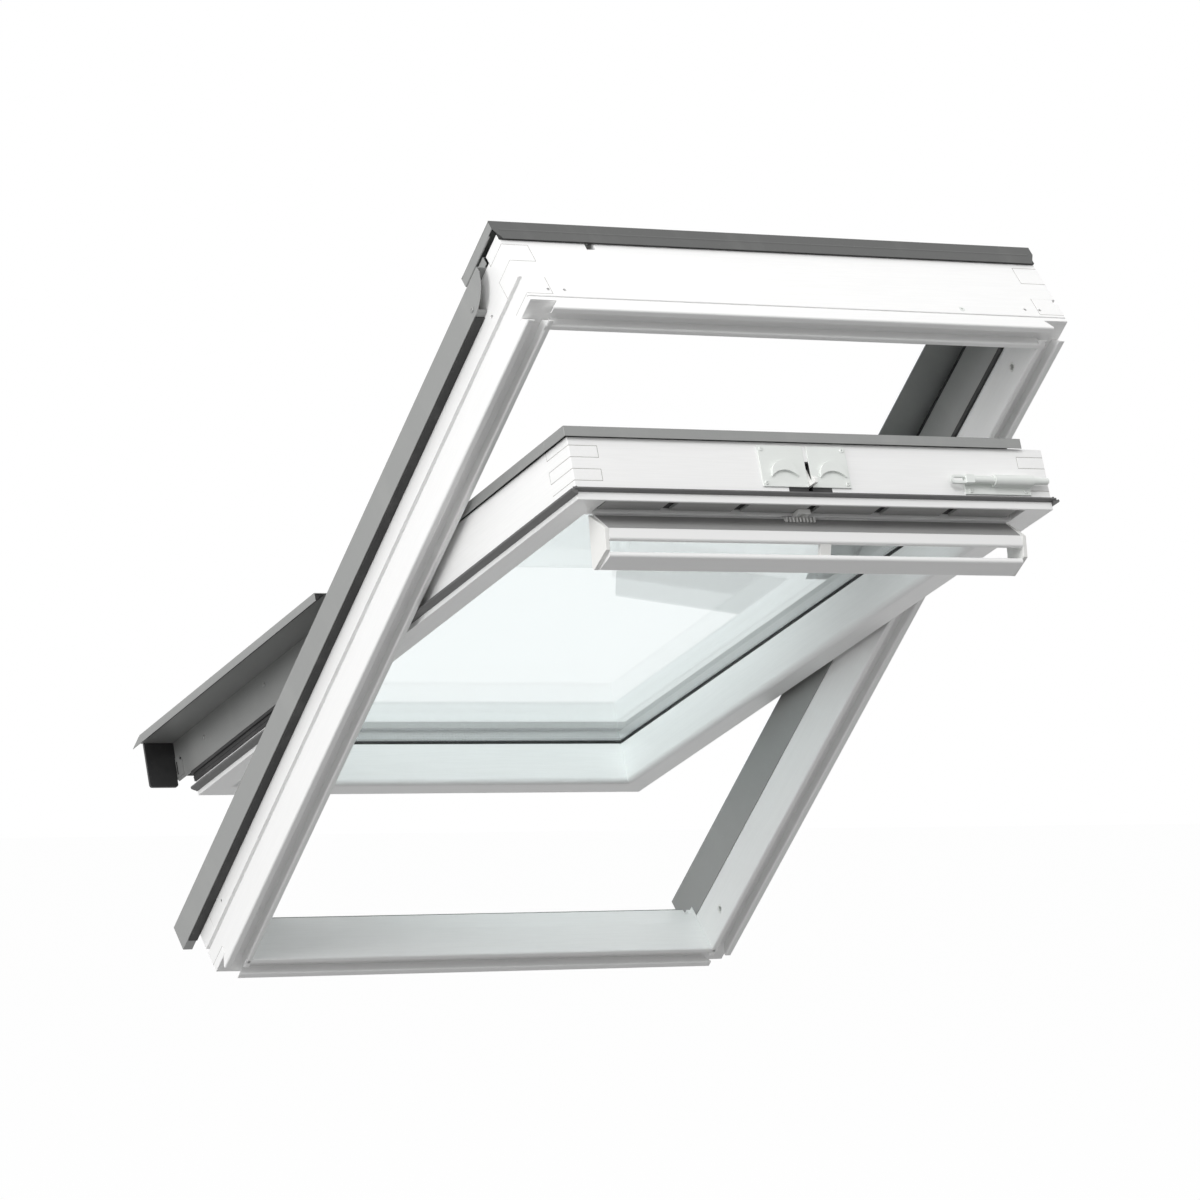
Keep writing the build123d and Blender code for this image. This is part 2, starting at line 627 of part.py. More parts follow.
for side, sign in SIDES:
    with BuildPart() as side_cladding:
        bent = [
            (CLAD_IN_X - SHEET, CLAD_INNER_LOW),
            (CLAD_IN_X - SHEET, CLAD_OUT),
            (CLAD_X, CLAD_OUT),
            (CLAD_X, CLAD_LOW),
            (OUT_X + SHEET_GAP, CLAD_LOW),
        ]
        run_up(sided(sign, sheet_outline(bent)), -TOP_Z - CLAD_BOTTOM, CLAD_TIP)
        # Past the frame's foot only the outer leg runs on, clear of the sash's end cap.
        block(
            span(sign, CLAD_IN_X - SHEET, OUT_X + CLAD_END_CUT),
            (CLAD_LOW + SHEET, CLAD_OUT),
            (-TOP_Z - CLAD_BOTTOM, -TOP_Z + CLAD_END_CUT),
            mode=Mode.SUBTRACT,
        )
        for zs in (
            (-TOP_Z - CLAD_BOTTOM, -TOP_Z + CLAD_END_CUT),
            (TOP_Z - CLAD_INNER_TOP, CLAD_TIP),
        ):
            block(
                span(sign, CLAD_IN_X - SHEET, CLAD_IN_X),
                (CLAD_INNER_LOW, CLAD_OUT),
                zs,
                mode=Mode.SUBTRACT,
            )
        block(
            span(sign, CLAD_IN_X - SHEET, CLAD_IN_X),
            (CLAD_INNER_LOW, SILL_OUT),
            (-TOP_Z, -IN_Z),
            mode=Mode.SUBTRACT,
        )
        with BuildSketch(Plane.YZ.offset(sign * OUT_X)) as taper:
            tip_out = CLAD_OUT - CLAD_TIP_W
            curve_middle = (
                (CLAD_LOW + tip_out) / 2 - CLAD_TIP_BULGE,
                CLAD_TIP - CLAD_TIP_TAPER / 2 + CLAD_TIP_BULGE,
            )
            with BuildLine():
                Polyline(
                    (CLAD_LOW, CLAD_TIP - CLAD_TIP_TAPER), (CLAD_LOW, CLAD_TIP), (tip_out, CLAD_TIP)
                )
                ThreePointArc(
                    (tip_out, CLAD_TIP), curve_middle, (CLAD_LOW, CLAD_TIP - CLAD_TIP_TAPER)
                )
            make_face()
        extrude(taper.sketch, amount=sign * CLAD_PROUD, mode=Mode.SUBTRACT)
        screw_holes(clad_screw_places(sign), (-sign, 0, 0))
        screw_holes(frame_hinge_places(sign), (sign, 0, 0))
    frame_pieces[f"{side}_side_cladding"] = side_cladding

    with BuildPart() as end_profile:
        foot_x = OUT_X + SHEET_GAP
        edge_x = CLAD_X - SHEET
        foot_y = CLAD_LOW + SHEET
        angle = [
            (foot_x, foot_y),
            (edge_x, foot_y),
            (edge_x, foot_y + END_PROFILE_HIGH),
            (edge_x - END_PROFILE_T, foot_y + END_PROFILE_HIGH),
            (edge_x - END_PROFILE_T, foot_y + END_PROFILE_T),
            (foot_x, foot_y + END_PROFILE_T),
        ]
        run_up(sided(sign, angle), -TOP_Z - CLAD_BOTTOM, -TOP_Z)
    frame_pieces[f"{side}_end_profile"] = end_profile

    with BuildPart() as upper_cover:
        cover_zs = (COVER_START, IN_Z - COVER_HEAD_GAP)
        block(
            span(sign, IN_X - COVER_INWARD, COVER_X),
            (COVER_UNDER, COVER_UNDER + SHEET),
            cover_zs,
        )
        block(
            span(sign, COVER_X - SHEET, COVER_X),
            (CLAD_OUT, COVER_UNDER),
            cover_zs,
        )
    frame_pieces[f"{side}_upper_cover"] = upper_cover

    with BuildPart() as cover_gasket:
        near = IN_X + COVER_SEAL_INSET
        block(
            span(sign, near, near + COVER_SEAL_W),
            (CLAD_OUT, COVER_UNDER),
            (COVER_START, CLAD_TIP),
        )
    frame_pieces[f"{side}_cover_gasket"] = cover_gasket

    with BuildPart() as frame_gasket:
        far = GASKET_AT + GASKET_W
        bulb = [
            (IN_X, GASKET_AT),
            (IN_X - GASKET_PROUD / 2, GASKET_AT),
            (IN_X - GASKET_PROUD, GASKET_AT + GASKET_PROUD / 2),
            (IN_X - GASKET_PROUD, far - GASKET_PROUD / 2),
            (IN_X - GASKET_PROUD / 2, far),
            (IN_X, far),
        ]
        run_up(sided(sign, bulb), GASKET_START, CLAD_TIP)
    frame_pieces[f"{side}_frame_gasket"] = frame_gasket

    with BuildPart() as frame_hinge:
        xs = span(sign, FRAME_HINGE_X, FRAME_HINGE_X + HINGE_PLATE_T)
        with BuildSketch(Plane.YZ.offset(xs[0])) as plate:
            with Locations(((HINGE_FRAME_LOW + HINGE_FRAME_HIGH) / 2, 0)):
                Rectangle(HINGE_FRAME_HIGH - HINGE_FRAME_LOW, 2 * HINGE_FRAME_HALF)
            fillet(plate.vertices(), HINGE_PLATE_ROUND)
            with Locations(((HINGE_FRAME_HIGH + PIVOT_OUT) / 2, 0)):
                Rectangle(PIVOT_OUT - HINGE_FRAME_HIGH, 2 * BOSS_R)
            with Locations((PIVOT_OUT, 0)):
                Circle(BOSS_R)
        extrude(plate.sketch, amount=HINGE_PLATE_T)
        root = (sign * FRAME_HINGE_X, PIVOT_OUT, 0)
        rod(BOSS_R, root, (-sign, 0, 0), FRAME_HINGE_X - SASH_HINGE_X - HINGE_RUN)
        rod(PIN_R, root, (-sign, 0, 0), FRAME_HINGE_X - SASH_X)
        head_recesses(frame_hinge_places(sign), (sign, 0, 0))
        screw_holes(frame_hinge_places(sign), (sign, 0, 0))
    frame_pieces[f"{side}_frame_hinge"] = frame_hinge

with BuildPart() as head_cladding:
    bent = [
        (HOOD_LOW, HOOD_Z),
        (HOOD_HIGH, HOOD_Z),
        (HOOD_HIGH, TOP_Z - HOOD_LAP),
    ]
    run_across(sheet_outline(bent), -HOOD_X, HOOD_X)
    wing_foot = HOOD_HIGH - HOOD_WING
    for side, sign in SIDES:
        wing_xs = span(sign, HOOD_X - SHEET, HOOD_X)
        block(wing_xs, (wing_foot, HOOD_HIGH), (TOP_Z - HOOD_LAP, HOOD_Z))
        corner = [
            (HOOD_X, HOOD_LOW),
            (HOOD_X - HOOD_CORNER, HOOD_LOW),
            (HOOD_X, wing_foot),
        ]
        run_up(sided(sign, corner), HOOD_Z - SHEET, HOOD_Z, mode=Mode.SUBTRACT)
frame_pieces["head_cladding"] = head_cladding

with BuildPart() as hood_seal:
    seal_ys = (HOOD_LOW + SHEET, HEAD_OUT)
    block((-OUT_X, OUT_X), seal_ys, (TOP_Z, TOP_Z + HOOD_SEAL_T))
frame_pieces["hood_seal"] = hood_seal

with BuildPart() as sill_cladding:
    flash_y = SILL_OUT + SHEET
    drip_z = -TOP_Z - SILL_FLASH_LIP
    flash_x = WEB_SLOT_X[0] - SILL_FLASH_SIDE
    bent = [
        (flash_y, -IN_Z - SILL_BEVEL),
        (flash_y, drip_z),
        (flash_y - SILL_FLASH_DRIP, drip_z),
    ]
    run_across(sheet_outline(bent), -flash_x, flash_x)
frame_pieces["sill_cladding"] = sill_cladding

with BuildPart() as frame_screws:
    for side, sign in SIDES:
        screws(clad_screw_places(sign), (-sign, 0, 0))
        screws(frame_hinge_places(sign), (sign, 0, 0))
frame_pieces["frame_screws"] = frame_screws

# Sash timbers
with BuildPart() as sash_blank:
    block((-SASH_X, SASH_X), (SASH_FACE, SASH_OUT), (SASH_LOW, SASH_TOP))
    step_ys = (SASH_FACE + SASH_SILL_STEP_AT, SASH_OUT)
    block((-SASH_X, SASH_X), step_ys, (SASH_FOOT, SASH_LOW))
    glass_zs = (GLASS_LOW, GLASS_TOP)
    block((-GLASS_X, GLASS_X), (SASH_FACE, SASH_OUT), glass_zs, mode=Mode.SUBTRACT)
    fillet(faces().sort_by(Axis.Y)[0].inner_wires()[0].edges(), EDGE_ROUND)
    pocket_ys = (SASH_FACE + REBATE_AT, SASH_OUT)
    block((-POCKET_X, POCKET_X), pocket_ys, (POCKET_LOW, POCKET_TOP), mode=Mode.SUBTRACT)

for side, sign in SIDES:
    with BuildPart() as sash_stile:
        stile_xs = span(sign, GLASS_X, SASH_X)
        block(stile_xs, (SASH_FACE, SASH_OUT), (SASH_FOOT, SASH_TOP))
        for band in SASH_BANDS:
            block(stile_xs, band, (GLASS_TOP, SASH_TOP), mode=Mode.SUBTRACT)
            block(stile_xs, band, (SASH_FOOT, GLASS_LOW), mode=Mode.SUBTRACT)
        add(sash_blank.part, mode=Mode.INTERSECT)
        screw_holes(sash_hinge_places(sign), (-sign, 0, 0))
        screw_holes(web_screw_places(sign), (-sign, 0, 0))
        screw_holes(BOLT_SCREWS, (0, 0, -1))
    sash_pieces[f"sash_{side}_stile"] = sash_stile

with BuildPart() as sash_top_rail:
    block((-GLASS_X, GLASS_X), (SASH_FACE, SASH_OUT), (GLASS_TOP, SASH_TOP))
    for band in SASH_BANDS:
        block((-SASH_X, SASH_X), band, (GLASS_TOP, SASH_TOP))
    add(sash_blank.part, mode=Mode.INTERSECT)
    filter_zs = (SLOT_Z, SLOT_Z + VENT_SLOT_W)
    slot_ys = (SASH_FACE, SASH_FACE + VENT_SLOT_DEEP)
    block((-GLASS_X, GLASS_X), slot_ys, filter_zs, mode=Mode.SUBTRACT)
    case_ys = (SASH_FACE + LOCK_CASE_OUT[0], SASH_FACE + LOCK_CASE_OUT[1])
    case_zs = (SASH_TOP - LOCK_CASE_DEEP, SASH_TOP)
    block(LOCK_CASE_X, case_ys, case_zs, mode=Mode.SUBTRACT)
    screw_holes(LOCK_SCREWS, (0, 0, -1))
    screw_holes(BOLT_SCREWS, (0, 0, -1))
sash_pieces["sash_top_rail"] = sash_top_rail

with BuildPart() as sash_bottom_rail:
    block((-GLASS_X, GLASS_X), (SASH_FACE, SASH_OUT), (SASH_FOOT, GLASS_LOW))
    for band in SASH_BANDS:
        block((-SASH_X, SASH_X), band, (SASH_FOOT, GLASS_LOW))
    add(sash_blank.part, mode=Mode.INTERSECT)
sash_pieces["sash_bottom_rail"] = sash_bottom_rail

with BuildPart() as vent_filter:
    filter_ys = (SASH_FACE + FILTER_SET_BACK, SASH_FACE + VENT_SLOT_DEEP)
    block((-GLASS_X, GLASS_X), filter_ys, filter_zs)
sash_pieces["vent_filter"] = vent_filter

# Glazing
pane_edge = (PANE_X, PANE_LOW, PANE_TOP)
for name, low in (("inner_pane", PANE_IN), ("outer_pane", SPACER_IN + SPACER_T)):
    with BuildPart() as pane:
        block((-PANE_X, PANE_X), (low, low + PANE_T), (PANE_LOW, PANE_TOP))
    sash_pieces[name] = pane

with BuildPart() as glazing_bed:
    glass_ring(0, pane_edge, (SASH_FACE + REBATE_AT, PANE_IN))
sash_pieces["glazing_bed"] = glazing_bed

spacer_out = SPACER_W - SPACER_SHOW
spacer_ys = (SPACER_IN, SPACER_IN + SPACER_T)
with BuildPart() as glazing_spacer:
    spacer_edge = (GLASS_X + spacer_out, GLASS_LOW - spacer_out, GLASS_TOP + spacer_out)
    glass_ring(-SPACER_SHOW, spacer_edge, spacer_ys)
sash_pieces["glazing_spacer"] = glazing_spacer

with BuildPart() as glazing_sealant:
    glass_ring(spacer_out, pane_edge, spacer_ys)
sash_pieces["glazing_sealant"] = glazing_sealant

with BuildPart() as glazing_gasket:
    bead_x = SASH_CLAD_IN_X + BEAD_W
    bead_ys = (PANE_OUT, BEAD_OUT)
    bead_zs = (SILL_CLAD_Z, TOP_CLAD_Z)
    block((-bead_x, bead_x), bead_ys, (SILL_CLAD_Z - BEAD_W, TOP_CLAD_Z + BEAD_W))
    block((-SASH_CLAD_IN_X, SASH_CLAD_IN_X), bead_ys, bead_zs, mode=Mode.SUBTRACT)
sash_pieces["glazing_gasket"] = glazing_gasket

# Sash seals, drawn as outlines of how far they stand off the timber and their depth
seal_low = SASH_FACE + SEAL_AT
seal_middle = seal_low + SEAL_W / 2
seal_tip = SIDE_GAP - SEAL_TIP_GAP
SEAL_SECTION = [
    (0, seal_low),
    (SEAL_BASE, seal_low),
    (seal_tip, seal_middle - SEAL_TIP_W / 2),
    (seal_tip, seal_middle + SEAL_TIP_W / 2),
    (SEAL_BASE, seal_low + SEAL_W),
    (0, seal_low + SEAL_W),
]
lower_seal_low = SASH_FACE + LOWER_SEAL_AT
lower_seal_end = lower_seal_low + LOWER_SEAL_W
LOWER_SEAL_SECTION = [
    (0, lower_seal_low),
    (SEAL_BASE, lower_seal_low),
    (SEAL_BASE, lower_seal_end - LOWER_SEAL_PROUD),
    (LOWER_SEAL_PROUD, lower_seal_end - LOWER_SEAL_PROUD),
    (LOWER_SEAL_PROUD, lower_seal_end),
    (0, lower_seal_end),
]

with BuildPart() as sash_seal:
    seal_x = SASH_X + seal_tip
    run_across([(y, SASH_TOP + off) for off, y in SEAL_SECTION], -seal_x, seal_x)
    for side, sign in SIDES:
        strip = [(sign * (SASH_X + off), y) for off, y in SEAL_SECTION]
        run_up(strip, SEAL_HINGE_CLEAR, SASH_TOP + seal_tip)
        run_up(strip, SASH_LOW, -SEAL_HINGE_CLEAR)
sash_pieces["sash_seal"] = sash_seal

with BuildPart() as lower_seal:
    for side, sign in SIDES:
        strip = [(sign * (SASH_X + off), y) for off, y in LOWER_SEAL_SECTION]
        run_up(strip, SASH_LOW, -SEAL_HINGE_CLEAR)
sash_pieces["lower_seal"] = lower_seal

# Sash claddings
with BuildPart() as sash_top_cladding:
    bent = [
        (SASH_CLAD_Y - SASH_CLAD_FLANGE, SASH_CLAD_TOP),
        (SASH_CLAD_Y, SASH_CLAD_TOP),
        (SASH_CLAD_Y, TOP_CLAD_Z),
        (BEAD_OUT, TOP_CLAD_Z),
    ]
    run_across(sheet_outline(bent), -SASH_CLAD_X, SASH_CLAD_IN_X - SHEET_GAP)
    block(
        (-SASH_CLAD_X, -SASH_CLAD_X + SHEET),
        (SASH_CLAD_Y - SASH_CLAD_FLANGE, SASH_CLAD_Y),
        (TOP_CLAD_Z, SASH_CLAD_TOP),
    )
sash_pieces["sash_top_cladding"] = sash_top_cladding

with BuildPart() as sash_bottom_cladding:
    bent = [
        (BEAD_OUT, SILL_CLAD_Z),
        (SASH_CLAD_Y, SILL_CLAD_Z),
        (SASH_CLAD_Y, APRON_Z),
        (SASH_FACE + APRON_LOW, APRON_Z),
    ]
    run_across(sheet_outline(bent), -SASH_X + SHEET_GAP, SASH_X - SHEET_GAP)
sash_pieces["sash_bottom_cladding"] = sash_bottom_cladding

for side, sign in SIDES:
    with BuildPart() as sash_side_cladding:
        sight = [(SASH_CLAD_IN_X, BEAD_OUT), (SASH_CLAD_IN_X, SASH_CLAD_Y)]
        narrow_x = SASH_X - SHEET_GAP
        narrow = sight + [(narrow_x, SASH_CLAD_Y), (narrow_x, SASH_OUT)]
        wide_foot = SASH_CLAD_Y - SASH_CLAD_FLANGE
        wide = sight + [(SASH_CLAD_X, SASH_CLAD_Y), (SASH_CLAD_X, wide_foot)]
        run_up(sided(sign, sheet_outline(narrow)), SILL_CLAD_Z + SHEET_GAP, COVER_START)
        run_up(sided(sign, sheet_outline(wide)), COVER_START, TOP_CLAD_Z - SHEET_GAP)
    sash_pieces[f"sash_{side}_side_cladding"] = sash_side_cladding

    with BuildPart() as lower_web:
        web_xs = span(sign, SASH_X, SASH_X + SHEET)
        web_low = SASH_FACE + LOWER_WEB_LOW
        block(web_xs, (web_low, LOWER_PLATE_Y - SHEET), (APRON_Z, -LOWER_START))
        with BuildSketch(Plane.YZ.offset(web_xs[0])) as foot:
            Polygon(
                (web_low, APRON_Z),
                (web_low + LOWER_WEB_CUT, APRON_Z),
                (web_low, APRON_Z + LOWER_WEB_CUT),
                align=None,
            )
        extrude(foot.sketch, amount=SHEET, mode=Mode.SUBTRACT)
        screw_holes(web_screw_places(sign), (-sign, 0, 0))
    sash_pieces[f"sash_{side}_lower_web"] = lower_web

    with BuildPart() as lower_cover:
        bent = [
            (SASH_X, LOWER_PLATE_Y),
            (LOWER_PLATE_X, LOWER_PLATE_Y),
            (LOWER_PLATE_X, LOWER_PLATE_Y - LOWER_LIP),
        ]
        run_up(sided(sign, sheet_outline(bent)), LOWER_END, -LOWER_START)
        # The foot end narrows towards the end cap, and the lip runs out in a slope.
        with BuildSketch(Plane.XZ) as corner:
            Polygon(
                (sign * LOWER_PLATE_X, LOWER_END),
                (sign * (LOWER_PLATE_X - LOWER_END_IN), LOWER_END),
                (sign * LOWER_PLATE_X, LOWER_END + LOWER_END_SLOPE),
                align=None,
            )
        extrude(
            corner.sketch.moved(Location((0, LOWER_PLATE_Y, 0))),
            amount=SHEET,
            dir=(0, -1, 0),
            mode=Mode.SUBTRACT,
        )
        with BuildSketch(Plane.YZ.offset(sign * (LOWER_PLATE_X - SHEET))) as slope:
            Polygon(
                (LOWER_PLATE_Y - LOWER_LIP, LOWER_END),
                (LOWER_PLATE_Y, LOWER_END),
                (LOWER_PLATE_Y, LOWER_END + LOWER_END_SLOPE),
                (LOWER_PLATE_Y - LOWER_LIP, LOWER_END + LOWER_END_TIP),
                align=None,
            )
        extrude(slope.sketch, amount=sign * SHEET, mode=Mode.SUBTRACT)
    sash_pieces[f"{side}_lower_cover"] = lower_cover

    with BuildPart() as end_cap:
        cap_top = -TOP_Z - END_CAP_GAP
        cap_low_y = SASH_FACE + END_CAP_LOW
        cap_high_y = LOWER_PLATE_Y - SHEET
        cap_x = sign * (END_CAP_INNER_X + END_CAP_OUTER_X) / 2
        with BuildSketch(Plane.XY.offset(cap_top - END_CAP_T)) as cap:
            with Locations((cap_x, (cap_low_y + cap_high_y) / 2)):
                Rectangle(END_CAP_OUTER_X - END_CAP_INNER_X, cap_high_y - cap_low_y)
            fillet(cap.vertices().group_by(Axis.Y)[0], END_CAP_T)
        extrude(cap.sketch, amount=END_CAP_T)
        block(
            span(sign, SASH_X + SHEET, END_CAP_INNER_X),
            (SASH_FACE + APRON_LOW, cap_high_y),
            (cap_top - END_CAP_T, cap_top),
        )
    sash_pieces[f"{side}_cover_end_cap"] = end_cap

    with BuildPart() as sash_hinge:
        low_y = SASH_FACE + HINGE_SASH_LOW
        high_y = SASH_FACE + HINGE_SASH_HIGH
        xs = span(sign, SASH_X, SASH_HINGE_X)
        with BuildSketch(Plane.YZ.offset(xs[0])) as plate:
            with Locations(((low_y + high_y) / 2, (HINGE_SASH_UP - HINGE_SASH_DOWN) / 2)):
                Rectangle(high_y - low_y, HINGE_SASH_UP + HINGE_SASH_DOWN)
            fillet(plate.vertices(), HINGE_PLATE_ROUND)
            with Locations(((high_y - BOSS_R + PIVOT_OUT) / 2, 0)):
                Rectangle(PIVOT_OUT - high_y + BOSS_R, 2 * BOSS_R)
            with Locations((PIVOT_OUT, 0)):
                Circle(BOSS_R)
                Circle(PIN_R + PIN_FIT, mode=Mode.SUBTRACT)
        extrude(plate.sketch, amount=HINGE_PLATE_T)
        head_recesses(sash_hinge_places(sign), (-sign, 0, 0))
        screw_holes(sash_hinge_places(sign), (-sign, 0, 0))
    sash_pieces[f"{side}_sash_hinge"] = sash_hinge

# Lock
with BuildPart() as lock_case:
    block(LOCK_CASE_X, case_ys, case_zs)
    inner_ys = (case_ys[0] + LOCK_CASE_WALL, case_ys[1] - LOCK_CASE_WALL)
    inner_zs = (case_zs[0] + LOCK_CASE_WALL, SASH_TOP)
    block(LOCK_SLOT_X, inner_ys, inner_zs, mode=Mode.SUBTRACT)
    pin_long = LOCK_SLOT_X[1] - LOCK_SLOT_X[0] + 2 * LOCK_CASE_WALL
    pin_start = (LOCK_SLOT_X[0] - LOCK_CASE_WALL, LATCH_Y, LATCH_Z)
    rod(LATCH_PIN_R, pin_start, (1, 0, 0), pin_long)
sash_pieces["lock_case"] = lock_case

with BuildPart() as lock_plates:
    plate_low = SASH_FACE + LOCK_PLATE_LOW
    plate_ys = (plate_low, plate_low + LOCK_PLATE_LONG)
    block((LOCK_PLATE_LEFT, LOCK_SLOT_X[0]), plate_ys, (SASH_TOP, LOCK_TOP))
    block((LOCK_SLOT_X[1], LOCK_PLATE_RIGHT), plate_ys, (SASH_TOP, LOCK_TOP))
    with BuildSketch(Plane.XY.offset(LOCK_TOP)) as bumps:
        bump_y = SASH_FACE + LOCK_BUMP_OUT
        with Locations(*[(x, bump_y) for x in LOCK_BUMPS_X]):
            Circle(LOCK_BUMP_R)
        with Locations(*[(x, bump_y - LOCK_BUMP_BITE_OUT) for x in LOCK_BUMPS_X]):
            Circle(LOCK_BUMP_BITE_R, mode=Mode.SUBTRACT)
    extrude(bumps.sketch, amount=LOCK_BUMP_RISE)
    screw_holes(LOCK_SCREWS, (0, 0, -1))
sash_pieces["lock_plates"] = lock_plates

with BuildPart() as lock_face:
    face_ys = (SASH_FACE - LOCK_FACE_T / 2, SASH_FACE + FILTER_SET_BACK)
    face_zs = (SLOT_Z, SLOT_Z + LOCK_FACE_H)
    block((slot_x - LOCK_FACE_HALF, slot_x + LOCK_FACE_HALF), face_ys, face_zs)
    block(
        (slot_x - LOCK_FACE_SLOT, slot_x + LOCK_FACE_SLOT),
        (face_ys[0], SASH_FACE),
        (SLOT_Z + LOCK_FACE_SLOT, SLOT_Z + LOCK_FACE_H - LOCK_FACE_SLOT),
        mode=Mode.SUBTRACT,
    )
sash_pieces["lock_face"] = lock_face

with BuildPart() as latch:
    latch_xs = (LOCK_SLOT_X[0] + LATCH_SIDE_PLAY, LOCK_SLOT_X[1] - LATCH_SIDE_PLAY)
    latch_w = latch_xs[1] - latch_xs[0]
    hook_near, hook_far = (SASH_FACE + out for out in LATCH_HOOK_OUT)
    tip_z = SASH_TOP + LATCH_RISE
    hook = [
        (LATCH_Y, LATCH_Z - LATCH_BOSS_R),
        (LATCH_Y, LATCH_Z + LATCH_BOSS_R),
        (hook_near + LATCH_HOOK_STEM, LOCK_TOP),
        (hook_near + LATCH_HOOK_STEM, tip_z - LATCH_HOOK_HEAD),
        (hook_far, tip_z - LATCH_HOOK_HEAD),
        (hook_near + LATCH_HOOK_STEM, tip_z),
        (hook_near, tip_z),
        (hook_near, SASH_TOP - LATCH_BOSS_R),
    ]
    run_across(hook, *latch_xs)
    start = (latch_xs[0], LATCH_Y, LATCH_Z)
    rod(LATCH_BOSS_R, start, (1, 0, 0), latch_w)
    rod(LATCH_PIN_R + PIN_FIT, start, (1, 0, 0), latch_w, mode=Mode.SUBTRACT)
sash_pieces["latch"] = latch

# Barrel bolt
with BuildPart() as bolt_barrel:
    barrel_long = BOLT_BARREL_X[1] - BOLT_BARREL_X[0]
    barrel_start = (BOLT_BARREL_X[0], BOLT_Y, BOLT_Z)
    bolt_plate_ys = tuple(SASH_FACE + out for out in BOLT_PLATE_OUT)
    block(BOLT_PLATE_X, bolt_plate_ys, (SASH_TOP, LOCK_TOP))
    saddle = [
        (BOLT_Y - BOLT_BARREL_FOOT / 2, LOCK_TOP),
        (BOLT_Y + BOLT_BARREL_FOOT / 2, LOCK_TOP),
        (BOLT_Y + BOLT_BARREL_R, BOLT_Z),
        (BOLT_Y - BOLT_BARREL_R, BOLT_Z),
    ]
    run_across(saddle, *BOLT_BARREL_X)
    rod(BOLT_BARREL_R, barrel_start, (1, 0, 0), barrel_long)
    rod(BOLT_R + BOLT_FIT, barrel_start, (1, 0, 0), barrel_long, mode=Mode.SUBTRACT)
    screw_holes(BOLT_SCREWS, (0, 0, -1))
sash_pieces["bolt_barrel"] = bolt_barrel

with BuildPart() as barrel_bolt:
    grip_right = BOLT_BARREL_X[0] - BOLT_TRAVEL - SHEET
    grip_left = grip_right - BOLT_GRIP_LONG
    tip_x = SASH_X - BOLT_TIP_GAP
    rod(BOLT_R, (grip_left, BOLT_Y, BOLT_Z), (1, 0, 0), tip_x - grip_left)
    chamfer(faces().sort_by(Axis.X)[-1].edges(), SHEET)
    block(
        (grip_left, grip_right),
        (BOLT_Y - BOLT_GRIP_W / 2, BOLT_Y + BOLT_GRIP_W / 2),
        (BOLT_Z - BOLT_GRIP_T / 2, BOLT_Z + BOLT_GRIP_T / 2),
    )
    with BuildSketch(Plane.XY.offset(BOLT_Z - BOLT_LOOP_T / 2)) as loop:
        hole_long = BOLT_LOOP_LONG - 2 * BOLT_LOOP_BAR
        hole_w = BOLT_GRIP_W - 2 * BOLT_LOOP_BAR
        with Locations((grip_left + BOLT_LOOP_BAR - BOLT_LOOP_LONG / 2, BOLT_Y)):
            SlotOverall(BOLT_LOOP_LONG, BOLT_GRIP_W)
            SlotOverall(hole_long, hole_w, mode=Mode.SUBTRACT)
    extrude(loop.sketch, amount=BOLT_LOOP_T)
sash_pieces["barrel_bolt"] = barrel_bolt

with BuildPart() as sash_screws:
    for side, sign in SIDES:
        screws(sash_hinge_places(sign), (-sign, 0, 0))
        screws(web_screw_places(sign), (-sign, 0, 0))
    screws(LOCK_SCREWS, (0, 0, -1))
    screws(BOLT_SCREWS, (0, 0, -1))
sash_pieces["sash_screws"] = sash_screws

# Control bar
with BuildPart() as vent_flap:
    leaf = [
        (BAR_Y + BAR_LEAF_T / 2, BAR_Z),
        bar_point(BAR_TURN_IN, BAR_FRONT_UP),
        bar_point(BAR_FRONT_IN, BAR_FRONT_UP),
        bar_point(BAR_FRONT_IN, BAR_FRONT_UP - BAR_FRONT_T),
        bar_point(BAR_TURN_IN - BAR_FRONT_T + BAR_LEAF_T, BAR_FRONT_UP - BAR_FRONT_T),
        (BAR_Y - BAR_LEAF_T / 2, BAR_Z),
    ]
    with BuildSketch(Plane.YZ.offset(-BAR_RUN)) as flap:
        Polygon(*leaf, align=None)
        fillet(flap.vertices().group_by(Axis.X)[0], BAR_FRONT_ROUND)
        with Locations((BAR_Y, BAR_Z)):
            Circle(BAR_HINGE_R)
    extrude(flap.sketch, amount=2 * BAR_RUN)
sash_pieces["vent_flap"] = vent_flap

with BuildPart() as grip_bar:
    grip_a = Vector(*bar_point(*GRIP_TOP))
    grip_b = Vector(*bar_point(*GRIP_FOOT))
    grip_way = grip_a - grip_b
    grip_turn = degrees(atan2(grip_way.Y, grip_way.X))
    with BuildSketch(Plane.YZ.offset(-BAR_RUN)) as grip:
        with Locations((grip_a + grip_b) / 2):
            Rectangle(grip_way.length, GRIP_T, rotation=grip_turn)
        fillet(grip.vertices(), GRIP_ROUND)
    extrude(grip.sketch, amount=2 * BAR_RUN)
sash_pieces["grip_bar"] = grip_bar

